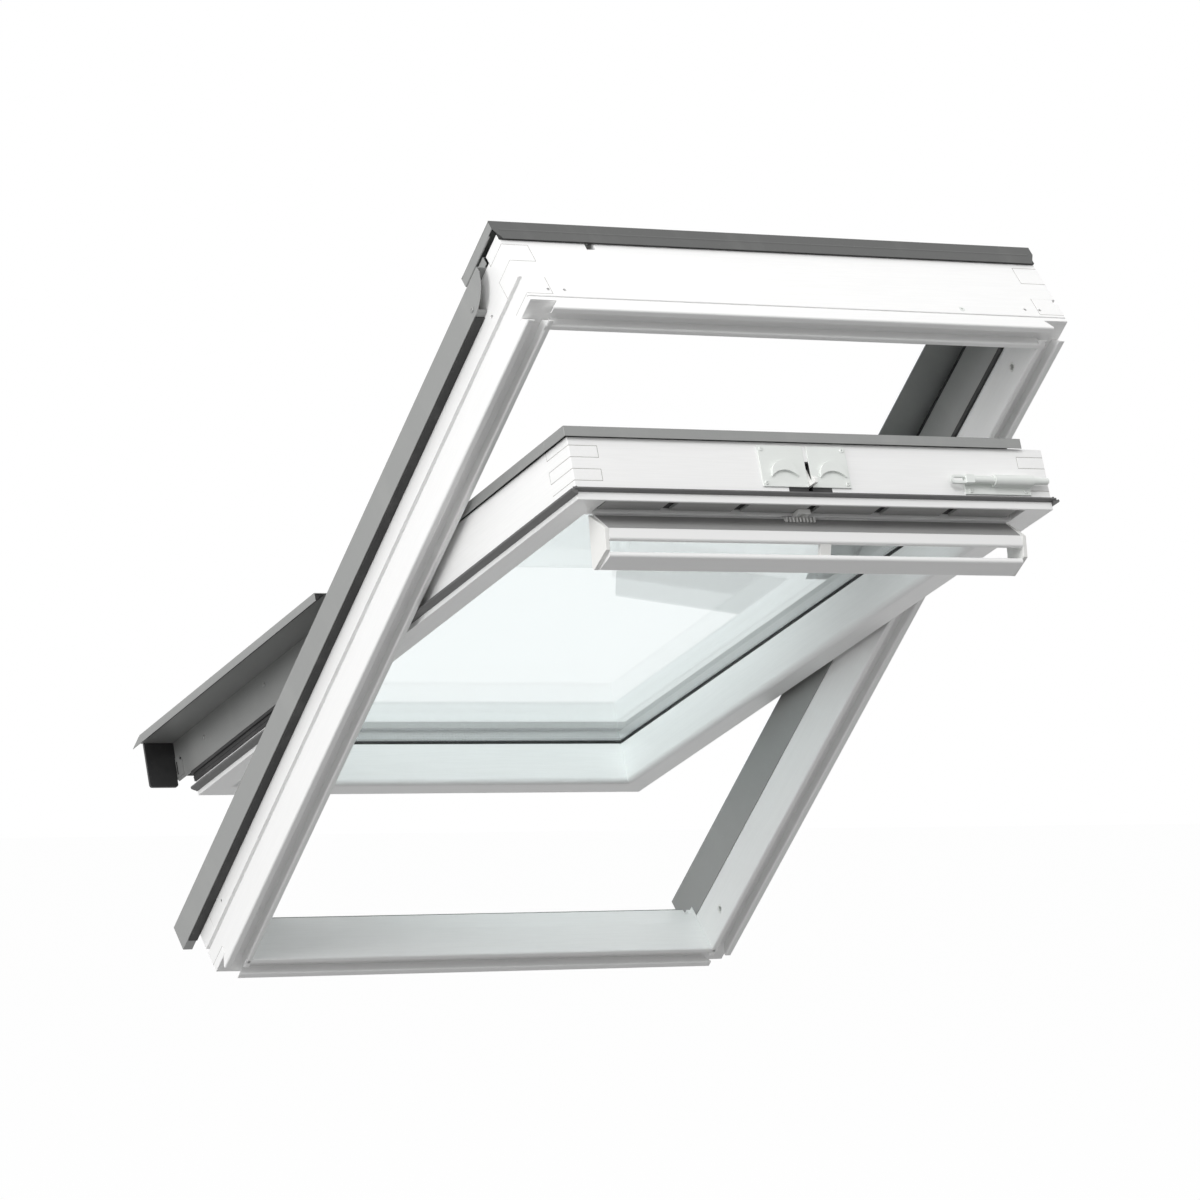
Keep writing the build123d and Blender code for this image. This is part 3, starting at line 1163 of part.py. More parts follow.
with BuildPart() as bar_end_caps:
    for side, sign in SIDES:
        left, right = span(sign, BAR_RUN, BAR_HALF)
        with BuildSketch(Plane.YZ.offset(left)) as cheek:
            Polygon(
                (BAR_Y + CAP_HINGE, BAR_Z - CAP_HINGE),
                bar_point(BAR_TURN_IN, BAR_FRONT_UP + CAP_MARGIN / 2),
                bar_point(GRIP_TOP[0] - CAP_MARGIN, GRIP_TOP[1] + CAP_MARGIN),
                bar_point(GRIP_FOOT[0] + CAP_MARGIN, GRIP_FOOT[1]),
                bar_point(GRIP_FOOT[0] - CAP_MARGIN, GRIP_FOOT[1] - CAP_MARGIN),
                align=None,
            )
            fillet(cheek.vertices().group_by(Axis.X)[0], CAP_ROUND)
        extrude(cheek.sketch, amount=CAP_T)
sash_pieces["bar_end_caps"] = bar_end_caps

with BuildPart() as bar_bracket:
    front_middle = BAR_FRONT_UP - BAR_FRONT_T / 2
    reach = [
        bar_point(BAR_FRONT_IN - BAR_FRONT_ROUND, front_middle + CAP_MARGIN),
        bar_point(GRIP_TOP[0], GRIP_TOP[1] - CAP_MARGIN),
        bar_point(GRIP_TOP[0], GRIP_TOP[1] - BRACKET_H),
        bar_point(BAR_FRONT_IN - BAR_FRONT_ROUND, front_middle - CAP_MARGIN),
    ]
    run_across(reach, *BRACKET_X)
    add(grip_bar.part, mode=Mode.SUBTRACT)
    add(vent_flap.part, mode=Mode.SUBTRACT)
sash_pieces["bar_bracket"] = bar_bracket

# Every piece is labelled, laid in its pose and written.
for pieces, seat in ((frame_pieces, FRAME_SEAT), (sash_pieces, SASH_SEAT)):
    for name, piece in pieces.items():
        piece.part.label = name
        piece.part.move(seat)
        export_step(piece.part, f"parts/{name}.step")
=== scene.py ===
"""Visual model of a centre-pivot roof window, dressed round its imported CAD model.

Pieces are drawn in millimetres, closed and upright, as the CAD source draws them: X runs
across the window, Y runs outward from the room and Z runs up the slope. A seat matrix then
lays each mesh on the roof pitch, and the pieces of the sash are turned about the pivot.
"""

from __future__ import annotations

import json
import logging
import math
from collections.abc import Callable, Iterable, Sequence
from dataclasses import dataclass, field
from enum import Enum

import bmesh
import bpy
from mathutils import Matrix, Vector

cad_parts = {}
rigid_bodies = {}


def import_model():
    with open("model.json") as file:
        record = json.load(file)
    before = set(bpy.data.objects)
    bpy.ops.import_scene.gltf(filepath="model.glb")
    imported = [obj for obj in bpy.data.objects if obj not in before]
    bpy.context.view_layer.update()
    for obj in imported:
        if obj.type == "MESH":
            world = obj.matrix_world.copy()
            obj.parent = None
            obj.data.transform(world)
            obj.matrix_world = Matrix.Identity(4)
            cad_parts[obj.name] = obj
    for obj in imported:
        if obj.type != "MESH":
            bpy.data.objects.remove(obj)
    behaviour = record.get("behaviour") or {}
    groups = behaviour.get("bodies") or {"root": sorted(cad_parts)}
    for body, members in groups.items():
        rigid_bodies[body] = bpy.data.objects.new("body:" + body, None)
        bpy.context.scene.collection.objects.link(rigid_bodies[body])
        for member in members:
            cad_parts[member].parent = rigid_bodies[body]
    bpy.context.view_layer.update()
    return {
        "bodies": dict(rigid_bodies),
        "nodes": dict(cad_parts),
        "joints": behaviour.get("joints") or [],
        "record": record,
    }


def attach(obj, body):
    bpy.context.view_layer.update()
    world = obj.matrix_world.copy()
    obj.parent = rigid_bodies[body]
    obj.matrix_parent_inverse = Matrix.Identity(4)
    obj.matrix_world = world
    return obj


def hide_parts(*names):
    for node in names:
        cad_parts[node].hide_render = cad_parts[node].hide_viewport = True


LOG = logging.getLogger("roof_window")
Point = Sequence[float]

MM = 0.001
ROOF_PITCH = 45.0
OPEN_ANGLE = 25.2
PIVOT_OUT = 112.0
ORIGIN_OUT = 26.25
HALF_W, HALF_H, TIMBER = 390.0, 589.0, 36.5
IN_X, IN_Z = HALF_W - TIMBER, HALF_H - TIMBER
SASH_X, SASH_TOP, SASH_LOW = 344.0, 531.0, -545.0
SASH_FACE, SASH_OUT = 25.3, 106.3
GLASS_X, GLASS_TOP, GLASS_LOW = 304.0, 477.5, -505.0
SIDES = (("left", -1), ("right", 1))


class Seat(Enum):
    """The two places that a drawn piece is laid in."""

    FRAME = 90.0 - ROOF_PITCH
    SASH = 90.0 - ROOF_PITCH + OPEN_ANGLE

    @property
    def matrix(self) -> Matrix:
        """Return the matrix from the drawn millimetres to the row frame in metres."""
        lay = Matrix.Rotation(math.radians(90.0 - ROOF_PITCH), 4, "X")
        lay = lay @ Matrix.Translation((0.0, -ORIGIN_OUT, HALF_H))
        if self is Seat.SASH:
            turn = Matrix.Rotation(math.radians(OPEN_ANGLE), 4, "X")
            pivot = Matrix.Translation((0.0, PIVOT_OUT, 0.0))
            lay = lay @ pivot @ turn @ pivot.inverted()
        return Matrix.Scale(MM, 4) @ lay


class Way(Enum):
    """The direction that a grain or a brushed pattern runs in, as turns about X and Y."""

    UP_FRAME = (-Seat.FRAME.value, 0.0)
    ACROSS_FRAME = (-Seat.FRAME.value, 90.0)
    UP_SASH = (-Seat.SASH.value, 0.0)
    ACROSS_SASH = (-Seat.SASH.value, 90.0)


class Graph:
    """A node tree with a short call that adds a node and joins its inputs."""

    def __init__(self, tree: bpy.types.NodeTree) -> None:
        """Keep the tree that the nodes go into."""
        self.tree = tree

    def add(self, kind: str, inputs: dict | None = None, **settings: object) -> bpy.types.Node:
        """Add a node.

        Args:
            kind: The node's Blender type.
            inputs: Values or sockets by input name or number.
            **settings: Properties of the node itself.

        Returns:
            The new node.
        """
        node = self.tree.nodes.new(kind)
        for name, value in settings.items():
            setattr(node, name, value)
        for key, value in (inputs or {}).items():
            if isinstance(value, bpy.types.NodeSocket):
                self.tree.links.new(value, node.inputs[key])
            else:
                node.inputs[key].default_value = value
        return node

    def math(self, operation: str, *values: object) -> bpy.types.NodeSocket:
        """Add a Math node and return its output."""
        node = self.add("ShaderNodeMath", dict(enumerate(values)), operation=operation)
        return node.outputs[0]

    def span(self, value: object, low: float, high: float) -> bpy.types.NodeSocket:
        """Map a 0 to 1 value onto a range and return the output."""
        inputs = {"Value": value, "To Min": low, "To Max": high}
        return self.add("ShaderNodeMapRange", inputs).outputs[0]

    def noise(self, where: object, scale: object, detail: float) -> bpy.types.NodeSocket:
        """Add a noise texture and return its Fac output."""
        inputs = {"Vector": where, "Scale": scale, "Detail": detail, "Roughness": 0.55}
        return self.add("ShaderNodeTexNoise", inputs).outputs[0]

    def stretched(self, where: object, share: Point) -> bpy.types.NodeSocket:
        """Scale a vector on each axis and return it."""
        node = self.add("ShaderNodeVectorMath", {0: where, 1: share}, operation="MULTIPLY")
        return node.outputs[0]


class Effects:
    """The shader node groups that several finishes share."""

    def __init__(self) -> None:
        """Build each group once."""
        self.groups = {
            "mottle": self._group("mottle", ("Mask",), self._mottle),
            "grain": self._group("grain", ("Mask", "Height"), self._grain),
            "brushed": self._group("brushed", ("Mask", "Height"), self._brushed),
            "pebble": self._group("pebble", ("Mask", "Height"), self._pebble),
            "dust": self._group("dust", ("Mask",), self._dust),
        }

    @staticmethod
    def _group(
        name: str, outputs: Sequence[str], fill: Callable[[Graph, object, object], list]
    ) -> bpy.types.NodeTree:
        """Make a group with a Vector and a Scale input.

        Args:
            name: The group's name.
            outputs: The names of its number outputs.
            fill: A function that adds the nodes and returns a socket for each output.

        Returns:
            The group's tree.
        """
        tree = bpy.data.node_groups.new(name, "ShaderNodeTree")
        tree.interface.new_socket("Vector", in_out="INPUT", socket_type="NodeSocketVector")
        tree.interface.new_socket("Scale", in_out="INPUT", socket_type="NodeSocketFloat")
        for output in outputs:
            tree.interface.new_socket(output, in_out="OUTPUT", socket_type="NodeSocketFloat")
        graph = Graph(tree)
        start = graph.add("NodeGroupInput")
        results = fill(graph, start.outputs[0], start.outputs[1])
        graph.add("NodeGroupOutput", dict(zip(outputs, results)))
        return tree

    @staticmethod
    def _mottle(graph: Graph, where: object, scale: object) -> list:
        """Soft cloudy variation."""
        broad = graph.noise(where, scale, 3.0)
        fine = graph.noise(where, graph.math("MULTIPLY", scale, 5.3), 2.0)
        mixed = graph.math("ADD", graph.math("MULTIPLY", broad, 0.7), graph.math("MULTIPLY", fine, 0.3))
        return [graph.span(mixed, 0.0, 1.0)]

    @staticmethod
    def _grain(graph: Graph, where: object, scale: object) -> list:
        """Wood grain that runs along Z, soft under its lacquer."""
        rings = graph.noise(graph.stretched(where, (1.0, 1.0, 0.035)), scale, 3.0)
        pores = graph.noise(
            graph.stretched(where, (1.0, 1.0, 0.02)), graph.math("MULTIPLY", scale, 6.0), 2.0
        )
        bands = graph.math("SINE", graph.math("MULTIPLY", rings, 34.0))
        bands = graph.math("ADD", graph.math("MULTIPLY", bands, 0.5), 0.5)
        height = graph.math("ADD", graph.math("MULTIPLY", bands, 0.4), graph.math("MULTIPLY", pores, 0.6))
        return [bands, height]

    @staticmethod
    def _brushed(graph: Graph, where: object, scale: object) -> list:
        """Fine lines that run along Z."""
        lines = graph.noise(graph.stretched(where, (1.0, 1.0, 0.012)), scale, 4.0)
        return [lines, lines]

    @staticmethod
    def _pebble(graph: Graph, where: object, scale: object) -> list:
        """The small round grain of a moulding or a powder coat."""
        inputs = {"Vector": where, "Scale": scale}
        cells = graph.add("ShaderNodeTexVoronoi", inputs, feature="SMOOTH_F1").outputs["Distance"]
        fine = graph.noise(where, scale, 2.0)
        height = graph.math("ADD", graph.math("MULTIPLY", cells, 0.6), graph.math("MULTIPLY", fine, 0.4))
        return [fine, height]

    @staticmethod
    def _dust(graph: Graph, where: object, scale: object) -> list:
        """Sparse specks and faint smears."""
        specks = graph.noise(where, graph.math("MULTIPLY", scale, 9.0), 1.0)
        specks = graph.add(
            "ShaderNodeMapRange", {"Value": specks, "From Min": 0.66, "From Max": 0.74}
        ).outputs[0]
        smear = graph.noise(graph.stretched(where, (1.0, 0.25, 1.0)), scale, 4.0)
        smear = graph.add(
            "ShaderNodeMapRange", {"Value": smear, "From Min": 0.52, "From Max": 0.8}
        ).outputs[0]
        return [graph.math("MAXIMUM", graph.math("MULTIPLY", specks, 0.5), smear)]


@dataclass(frozen=True)
class Finish:
    """One finish: its colour, its sheen and the marks on its surface."""

    name: str
    slot: str
    colour: tuple[float, float, float]
    roughness: float
    effect: str = "pebble"
    scale: float = 600.0
    relief: float = 0.1
    tint: float = 0.04
    clouds: float = 0.03
    cloud_scale: float = 9.0
    dust: float = 0.0
    metallic: float = 0.0
    coat: float = 0.0
    way: Way = Way.UP_FRAME

    def material(self, effects: Effects) -> bpy.types.Material:
        """Build the material.

        Args:
            effects: The shared node groups.

        Returns:
            The Blender material.
        """
        made = bpy.data.materials.new(self.name)
        made.use_nodes = True
        graph = Graph(made.node_tree)
        graph.tree.nodes.clear()
        where = graph.add("ShaderNodeTexCoord").outputs["Object"]
        turn = (math.radians(self.way.value[0]), math.radians(self.way.value[1]), 0.0)
        along = graph.add("ShaderNodeMapping", {"Vector": where, "Rotation": turn}).outputs[0]
        pattern = self._place(graph, effects, self.effect, along, self.scale)
        clouds = self._place(graph, effects, "mottle", along, self.cloud_scale)
        shade = graph.math(
            "ADD",
            graph.span(pattern.outputs["Mask"], -self.tint, self.tint),
            graph.span(clouds.outputs["Mask"], 1.0 - self.clouds, 1.0 + self.clouds),
        )
        colour = graph.add(
            "ShaderNodeVectorMath", {0: self.colour, "Scale": shade}, operation="SCALE"
        ).outputs[0]
        rough = graph.span(clouds.outputs["Mask"], self.roughness * 0.85, self.roughness * 1.15)
        if self.dust:
            film = self._place(graph, effects, "dust", along, 22.0)
            share = graph.math("MULTIPLY", film.outputs["Mask"], self.dust)
            inputs = {0: share, 6: colour, 7: (0.62, 0.61, 0.58, 1.0)}
            colour = graph.add("ShaderNodeMix", inputs, data_type="RGBA").outputs[2]
            rough = graph.math("ADD", rough, graph.math("MULTIPLY", share, 0.4))
        inputs = {"Height": pattern.outputs["Height"], "Distance": self.relief * MM}
        bump = graph.add("ShaderNodeBump", {**inputs, "Strength": 0.6})
        shader = graph.add(
            "ShaderNodeBsdfPrincipled",
            {
                "Base Color": colour,
                "Roughness": rough,
                "Metallic": self.metallic,
                "Coat Weight": self.coat,
                "Coat Roughness": 0.12,
                "Normal": bump.outputs[0],
            },
        )
        graph.add("ShaderNodeOutputMaterial", {"Surface": shader.outputs[0]})
        return made

    @staticmethod
    def _place(
        graph: Graph, effects: Effects, name: str, where: object, scale: float
    ) -> bpy.types.Node:
        """Place one shared group in the material and return its node."""
        node = graph.add("ShaderNodeGroup", node_tree=effects.groups[name])
        graph.tree.links.new(where, node.inputs["Vector"])
        node.inputs["Scale"].default_value = scale
        return node


@dataclass(frozen=True)
class GlassFinish:
    """Clear float glass that lets shadow rays through."""

    name: str
    slot: str
    colour: tuple[float, float, float]

    def material(self, effects: Effects) -> bpy.types.Material:
        """Build the glass.

        Args:
            effects: The shared node groups.

        Returns:
            The Blender material.
        """
        made = bpy.data.materials.new(self.name)
        made.use_nodes = True
        graph = Graph(made.node_tree)
        graph.tree.nodes.clear()
        where = graph.add("ShaderNodeTexCoord").outputs["Object"]
        film = graph.add("ShaderNodeGroup", node_tree=effects.groups["dust"])
        graph.tree.links.new(where, film.inputs["Vector"])
        film.inputs["Scale"].default_value = 7.0
        glass = graph.add(
            "ShaderNodeBsdfPrincipled",
            {
                "Base Color": (*self.colour, 1.0),
                "Roughness": graph.span(film.outputs[0], 0.0, 0.05),
                "IOR": 1.45,
                "Transmission Weight": 1.0,
            },
        )
        clear = graph.add("ShaderNodeBsdfTransparent", {"Color": (*self.colour, 1.0)})
        path = graph.add("ShaderNodeLightPath")
        mixed = graph.add(
            "ShaderNodeMixShader",
            {0: path.outputs["Is Shadow Ray"], 1: glass.outputs[0], 2: clear.outputs[0]},
        )
        graph.add("ShaderNodeOutputMaterial", {"Surface": mixed.outputs[0]})
        return made


WHITE = (0.88, 0.88, 0.875)
SHEET_GREY = (0.30, 0.305, 0.30)


class Surface(Enum):
    """Every finish of the window."""

    STILE_TIMBER = Finish(
        "lacquered stile", "timber", WHITE, 0.36, "grain", 150.0, 0.10, 0.010, 0.012,
        coat=0.15, way=Way.UP_FRAME,
    )
    RAIL_TIMBER = Finish(
        "lacquered rail", "timber", WHITE, 0.36, "grain", 150.0, 0.10, 0.010, 0.012,
        coat=0.15, way=Way.ACROSS_FRAME,
    )
    SASH_STILE_TIMBER = Finish(
        "lacquered sash stile", "timber", WHITE, 0.36, "grain", 150.0, 0.10, 0.010, 0.012,
        coat=0.15, way=Way.UP_SASH,
    )
    SASH_RAIL_TIMBER = Finish(
        "lacquered sash rail", "timber", WHITE, 0.36, "grain", 150.0, 0.10, 0.010, 0.012,
        coat=0.15, way=Way.ACROSS_SASH,
    )
    SHEET = Finish(
        "coated sheet", "sheet", SHEET_GREY, 0.42, "pebble", 1400.0, 0.03, 0.02, 0.05,
        dust=0.10, metallic=0.25, way=Way.UP_FRAME,
    )
    # The same coated sheet made darker: painted shade on the hood's front.
    SHADED_HOOD_SHEET = Finish(
        "coated sheet with painted shade", "sheet", (0.095, 0.097, 0.095), 0.40, "pebble", 1400.0, 0.03, 0.02,
        0.06, dust=0.06, metallic=0.2, way=Way.ACROSS_FRAME,
    )
    SASH_SHEET = Finish(
        "coated sash sheet", "sheet", SHEET_GREY, 0.42, "pebble", 1400.0, 0.03, 0.02, 0.05,
        dust=0.10, metallic=0.25, way=Way.UP_SASH,
    )
    RUBBER = Finish(
        "seal rubber", "rubber", (0.018, 0.018, 0.018), 0.55, "pebble", 2200.0, 0.05, 0.1, 0.15,
        dust=0.06,
    )
    SEAL = Finish(
        "grey seal", "rubber", (0.115, 0.115, 0.115), 0.5, "pebble", 2200.0, 0.05, 0.06, 0.12,
        dust=0.05,
    )
    JOINT = Finish("joint line", "timber", (0.30, 0.29, 0.27), 0.8)
    SPACER = Finish(
        "spacer bar", "spacer", (0.42, 0.43, 0.43), 0.35, "brushed", 900.0, 0.02, 0.05, 0.04,
        metallic=0.85, way=Way.UP_SASH,
    )
    # Near-black beads: painted shade inside the spacer's fine holes.
    HOLE_SHADE = Finish("spacer hole shade", "spacer", (0.02, 0.02, 0.02), 0.8)
    STEEL = Finish(
        "zinc plated steel", "steel", (0.56, 0.57, 0.55), 0.30, "brushed", 1500.0, 0.02, 0.10,
        0.06, dust=0.04, metallic=1.0, way=Way.ACROSS_SASH,
    )
    PLATE = Finish(
        "pale zinc plate", "plate", (0.76, 0.785, 0.76), 0.38, "brushed", 700.0, 0.01, 0.02,
        0.04, cloud_scale=45.0, dust=0.05, metallic=0.15, way=Way.ACROSS_SASH,
    )
    WHITE_METAL = Finish(
        "white powder coat", "white_metal", (0.84, 0.84, 0.835), 0.34, "pebble", 1800.0, 0.04,
        0.008, 0.012, coat=0.1, way=Way.ACROSS_SASH,
    )
    WHITE_PLASTIC = Finish(
        "white moulding", "white_plastic", (0.80, 0.80, 0.78), 0.45, "pebble", 2600.0, 0.04,
        0.01, 0.015,
    )
    # Grey liner on the flap; its dark tone is partly painted shade of the recessed flap face.
    LINER_AND_SHADE = Finish(
        "flap liner and painted shade", "grey_plastic", (0.30, 0.30, 0.297), 0.6, "pebble", 2400.0, 0.05, 0.03, 0.06,
    )
    GREY_PLASTIC = Finish(
        "grey moulding", "grey_plastic", (0.30, 0.30, 0.295), 0.5, "pebble", 2400.0, 0.05,
        0.03, 0.04,
    )
    BLACK_PLASTIC = Finish(
        "black moulding", "black_plastic", (0.022, 0.022, 0.023), 0.45, "pebble", 2400.0, 0.06,
        0.1, 0.12, dust=0.05,
    )
    FILTER = Finish(
        "filter foam", "filter", (0.46, 0.46, 0.455), 0.95, "pebble", 1500.0, 0.5, 0.25, 0.08
    )
    PANE = GlassFinish("clear pane", "pane", (0.955, 0.985, 0.985))


class Palette:
    """The materials, each built when it is first asked for."""

    def __init__(self) -> None:
        """Build the shared groups."""
        self.effects = Effects()
        self.made: dict[Surface, bpy.types.Material] = {}

    def get(self, surface: Surface) -> bpy.types.Material:
        """Return the material of a surface."""
        if surface not in self.made:
            self.made[surface] = surface.value.material(self.effects)
        return self.made[surface]


class Shop:
    """Registers finished pieces and dresses the CAD nodes."""

    def __init__(self, frame: dict) -> None:
        """Keep the loaded frame.
        """
        self.nodes: dict[str, bpy.types.Object] = frame["nodes"]
        self.palette = Palette()

    def register(
        self, piece: bpy.types.Object, body: str, surface: Surface, replaced: Iterable[str] = ()
    ) -> bpy.types.Object:
        """Give a piece its material and body.

        Args:
            piece: The finished object.
            body: The CAD body that it rides on.
            surface: Its finish.
            replaced: The CAD nodes that it stands for.

        Returns:
            The piece.
        """
        piece.data.materials.clear()
        piece.data.materials.append(self.palette.get(surface))
        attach(piece, body)
        if replaced:
            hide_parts(*replaced)
        LOG.info("%s rides on %s", piece.name, body)
        return piece

    def dress(self, node: str, surface: Surface) -> None:
        """Give a CAD node that stays in view a better material."""
        shown = self.nodes[node]
        if not shown.material_slots:
            shown.data.materials.append(None)
        for slot in shown.material_slots:
            slot.material = self.palette.get(surface)
        LOG.info("%s keeps its CAD shape", node)

    def eased(
        self, node: str, body: str, surface: Surface, width: float, least: float = 4.0,
        shape: Callable[[Draft], None] | None = None,
    ) -> bpy.types.Object:
        """Replace a CAD node by a copy whose convex edges are eased.

        Args:
            node: The CAD node.
            body: The body that it rides on.
            surface: Its finish.
            width: The width of the eased edge in millimetres.
            least: The shortest edge that is eased, in millimetres.
            shape: A step that changes the copy before its edges are eased.

        Returns:
            The new piece.
        """
        draft = Draft(self.nodes[node].data)
        if shape:
            shape(draft)
        draft.ease(width * MM, least * MM)
        return self.register(draft.plain(f"{node}_eased"), body, surface, [node])


class Draft:
    """A mesh that is being drawn."""

    def __init__(self, source: bpy.types.Mesh | None = None) -> None:
        """Start empty, or from a merged copy of a mesh of loose triangles.

        Args:
            source: The mesh to copy.
        """
        self.bm = bmesh.new()
        if source is not None:
            self.bm.from_mesh(source)
            bmesh.ops.remove_doubles(self.bm, verts=self.bm.verts, dist=4e-6)
            bmesh.ops.dissolve_limit(
                self.bm, angle_limit=math.radians(0.6), verts=self.bm.verts, edges=self.bm.edges
            )

    def ring(self, points: Iterable[Point]) -> list[bmesh.types.BMVert]:
        """Add a row of points and return their vertices."""
        return [self.bm.verts.new(point) for point in points]

    def loft(self, rings: list[list], closed: bool = False, capped: bool = True) -> None:
        """Join rings of as many points with faces.

        Args:
            rings: The rings, in order.
            closed: Whether the last ring joins the first.
            capped: Whether the end rings are filled.
        """
        pairs = list(zip(rings, rings[1:] + rings[:1]))
        for low, high in pairs if closed else pairs[:-1]:
            for i in range(len(low)):
                j = (i + 1) % len(low)
                self.bm.faces.new((low[i], low[j], high[j], high[i]))
        if capped and not closed:
            self.bm.faces.new(rings[0])
            self.bm.faces.new(rings[-1])

    def prism(self, outline: Sequence[Point], axis: str, low: float, high: float) -> None:
        """Extrude an outline along an axis.

        Args:
            outline: Points on the other two axes, in X, Y, Z order.
            axis: The axis, one of X, Y and Z.
            low: Where the prism starts.
            high: Where it ends.
        """
        at = "XYZ".index(axis)
        self.loft([self.ring((*p[:at], end, *p[at:]) for p in outline) for end in (low, high)])

    def block(self, xs: Point, ys: Point, zs: Point) -> None:
        """Add a block between two values on each axis."""
        self.prism([(xs[0], ys[0]), (xs[1], ys[0]), (xs[1], ys[1]), (xs[0], ys[1])], "Z", *zs)

    def lathe(self, start: Point, axis: Point, profile: Sequence[Point], sides: int = 32) -> None:
        """Turn a profile about an axis.

        Args:
            start: A point on the axis.
            axis: The direction of the axis.
            profile: Radius and place along the axis, in order; it closes on itself.
            sides: How many flats the round has.
        """
        turn = Vector(axis).to_track_quat("Z", "Y").to_matrix()
        rings = []
        for i in range(sides):
            angle = math.tau * i / sides
            way = Vector((math.cos(angle), math.sin(angle), 0.0))
            points = (Vector(start) + turn @ (way * r + Vector((0, 0, z))) for r, z in profile)
            rings.append(self.ring(points))
        self.loft(rings, closed=True)
        bmesh.ops.remove_doubles(self.bm, verts=self.bm.verts, dist=1e-4)

    def sweep(self, path: Sequence[Point], profile: Sequence[Point], closed: bool) -> None:
        """Sweep a profile along a flat line of X, Z points, mitred at its corners.

        Args:
            path: The line.
            profile: Distance to the left of the line, and Y.
            closed: Whether the line ends where it starts.
        """
        line = [Vector(point) for point in path]
        count = len(line)
        rings = []
        for i, point in enumerate(line):
            before = (point - line[i - 1]).normalized() if closed or i else None
            after = (line[(i + 1) % count] - point).normalized() if closed or i < count - 1 else None
            ways = [way for way in (before, after) if way is not None]
            sides = [Vector((-way.y, way.x)) for way in ways]
            middle = (sides[0] + sides[-1]).normalized()
            middle /= middle.dot(sides[0])
            rings.append(
                self.ring((point.x + middle.x * off, y, point.y + middle.y * off) for off, y in profile)
            )
        self.loft(rings, closed=closed)

    def ease(self, width: float, least: float, angle: float = 32.0, segments: int = 3) -> None:
        """Round the convex edges.

        Args:
            width: The width of the round.
            least: The shortest edge that is rounded.
            angle: The smallest turn between faces that counts as an edge, in degrees.
            segments: How many strips the round has.
        """
        turned = [
            edge for edge in self.bm.edges if edge.calc_face_angle(0.0) > math.radians(angle)
        ]
        # A round wider than the ledge beside it would fold over, so such edges stay sharp.
        cramped = {
            vert for edge in turned if edge.calc_length() < 2.0 * width for vert in edge.verts
        }
        sharp = [
            edge
            for edge in turned
            if edge.is_manifold
            and edge.is_convex
            and edge.calc_length() > least
            and cramped.isdisjoint(edge.verts)
        ]
        bmesh.ops.bevel(
            self.bm, geom=sharp, offset=width, offset_type="OFFSET", segments=segments,
            profile=0.5, affect="EDGES", clamp_overlap=False, loop_slide=False,
        )

    def plain(self, name: str, seat: Seat | None = None, sharp: float = 34.0) -> bpy.types.Object:
        """Turn the draft into an object whose place is in its mesh.

        Args:
            name: The object's name.
            seat: Where the drawn millimetres are laid, or None for a mesh already in place.
            sharp: The turn between faces past which an edge is shaded sharp, in degrees.

        Returns:
            The object.
        """
        if seat is not None:
            bmesh.ops.recalc_face_normals(self.bm, faces=self.bm.faces)
            self.bm.transform(seat.matrix)
        for face in self.bm.faces:
            face.smooth = True
        for edge in self.bm.edges:
            edge.smooth = edge.calc_face_angle(math.pi) < math.radians(sharp)
        mesh = bpy.data.meshes.new(name)
        self.bm.to_mesh(mesh)
        self.bm.free()
        if "custom_normal" in mesh.attributes:
            mesh.attributes.remove(mesh.attributes["custom_normal"])
        piece = bpy.data.objects.new(name, mesh)
        bpy.context.scene.collection.objects.link(piece)
        piece.modifiers.new("even", "WEIGHTED_NORMAL").keep_sharp = True
        return settle(piece)


def settle(piece: bpy.types.Object) -> bpy.types.Object:
    """Apply a piece's modifiers, so that it is a plain mesh, and return it."""
    bpy.context.view_layer.update()
    graph = bpy.context.evaluated_depsgraph_get()
    mesh = bpy.data.meshes.new_from_object(piece.evaluated_get(graph))
    piece.modifiers.clear()
    piece.data = mesh
    return piece


def sided(sign: int, outline: Sequence[Point]) -> list[tuple[float, float]]:
    """Return an X, Y outline on the side that the sign gives."""
    return [(sign * x, y) for x, y in outline]


class Tree:
    """A geometry tree with named inputs, and the modifier call that uses it."""

    def __init__(self, name: str, inputs: dict[str, str]) -> None:
        """Make the tree and its sockets.

        Args:
            name: The tree's name.
            inputs: Socket type by name, past the geometry.
        """
        self.tree = bpy.data.node_groups.new(name, "GeometryNodeTree")
        face = self.tree.interface
        face.new_socket("Geometry", in_out="INPUT", socket_type="NodeSocketGeometry")
        self.keys = {
            label: face.new_socket(label, in_out="INPUT", socket_type=kind).identifier
            for label, kind in inputs.items()
        }
        face.new_socket("Geometry", in_out="OUTPUT", socket_type="NodeSocketGeometry")
        self.graph = Graph(self.tree)
        self.start = self.graph.add("NodeGroupInput")

    def close(self, geometry: bpy.types.NodeSocket) -> None:
        """Realize the instances, set the material and end the tree."""
        real = self.graph.add("GeometryNodeRealizeInstances", {"Geometry": geometry})
        inputs = {"Geometry": real.outputs[0], "Material": self.start.outputs["Finish"]}
        dressed = self.graph.add("GeometryNodeSetMaterial", inputs)
        self.graph.add("NodeGroupOutput", {"Geometry": dressed.outputs[0]})

    def grow(self, name: str, mesh: bpy.types.Mesh, values: dict[str, object]) -> bpy.types.Object:
        """Run the tree on a mesh.

        Args:
            name: The new object's name.
            mesh: The tree's input geometry.
            values: The inputs, by name.

        Returns:
            A plain mesh object.
        """
        piece = bpy.data.objects.new(name, mesh)
        bpy.context.scene.collection.objects.link(piece)
        modifier = piece.modifiers.new("grow", "NODES")
        modifier.node_group = self.tree
        for label, value in values.items():
            modifier[self.keys[label]] = value
        return settle(piece)


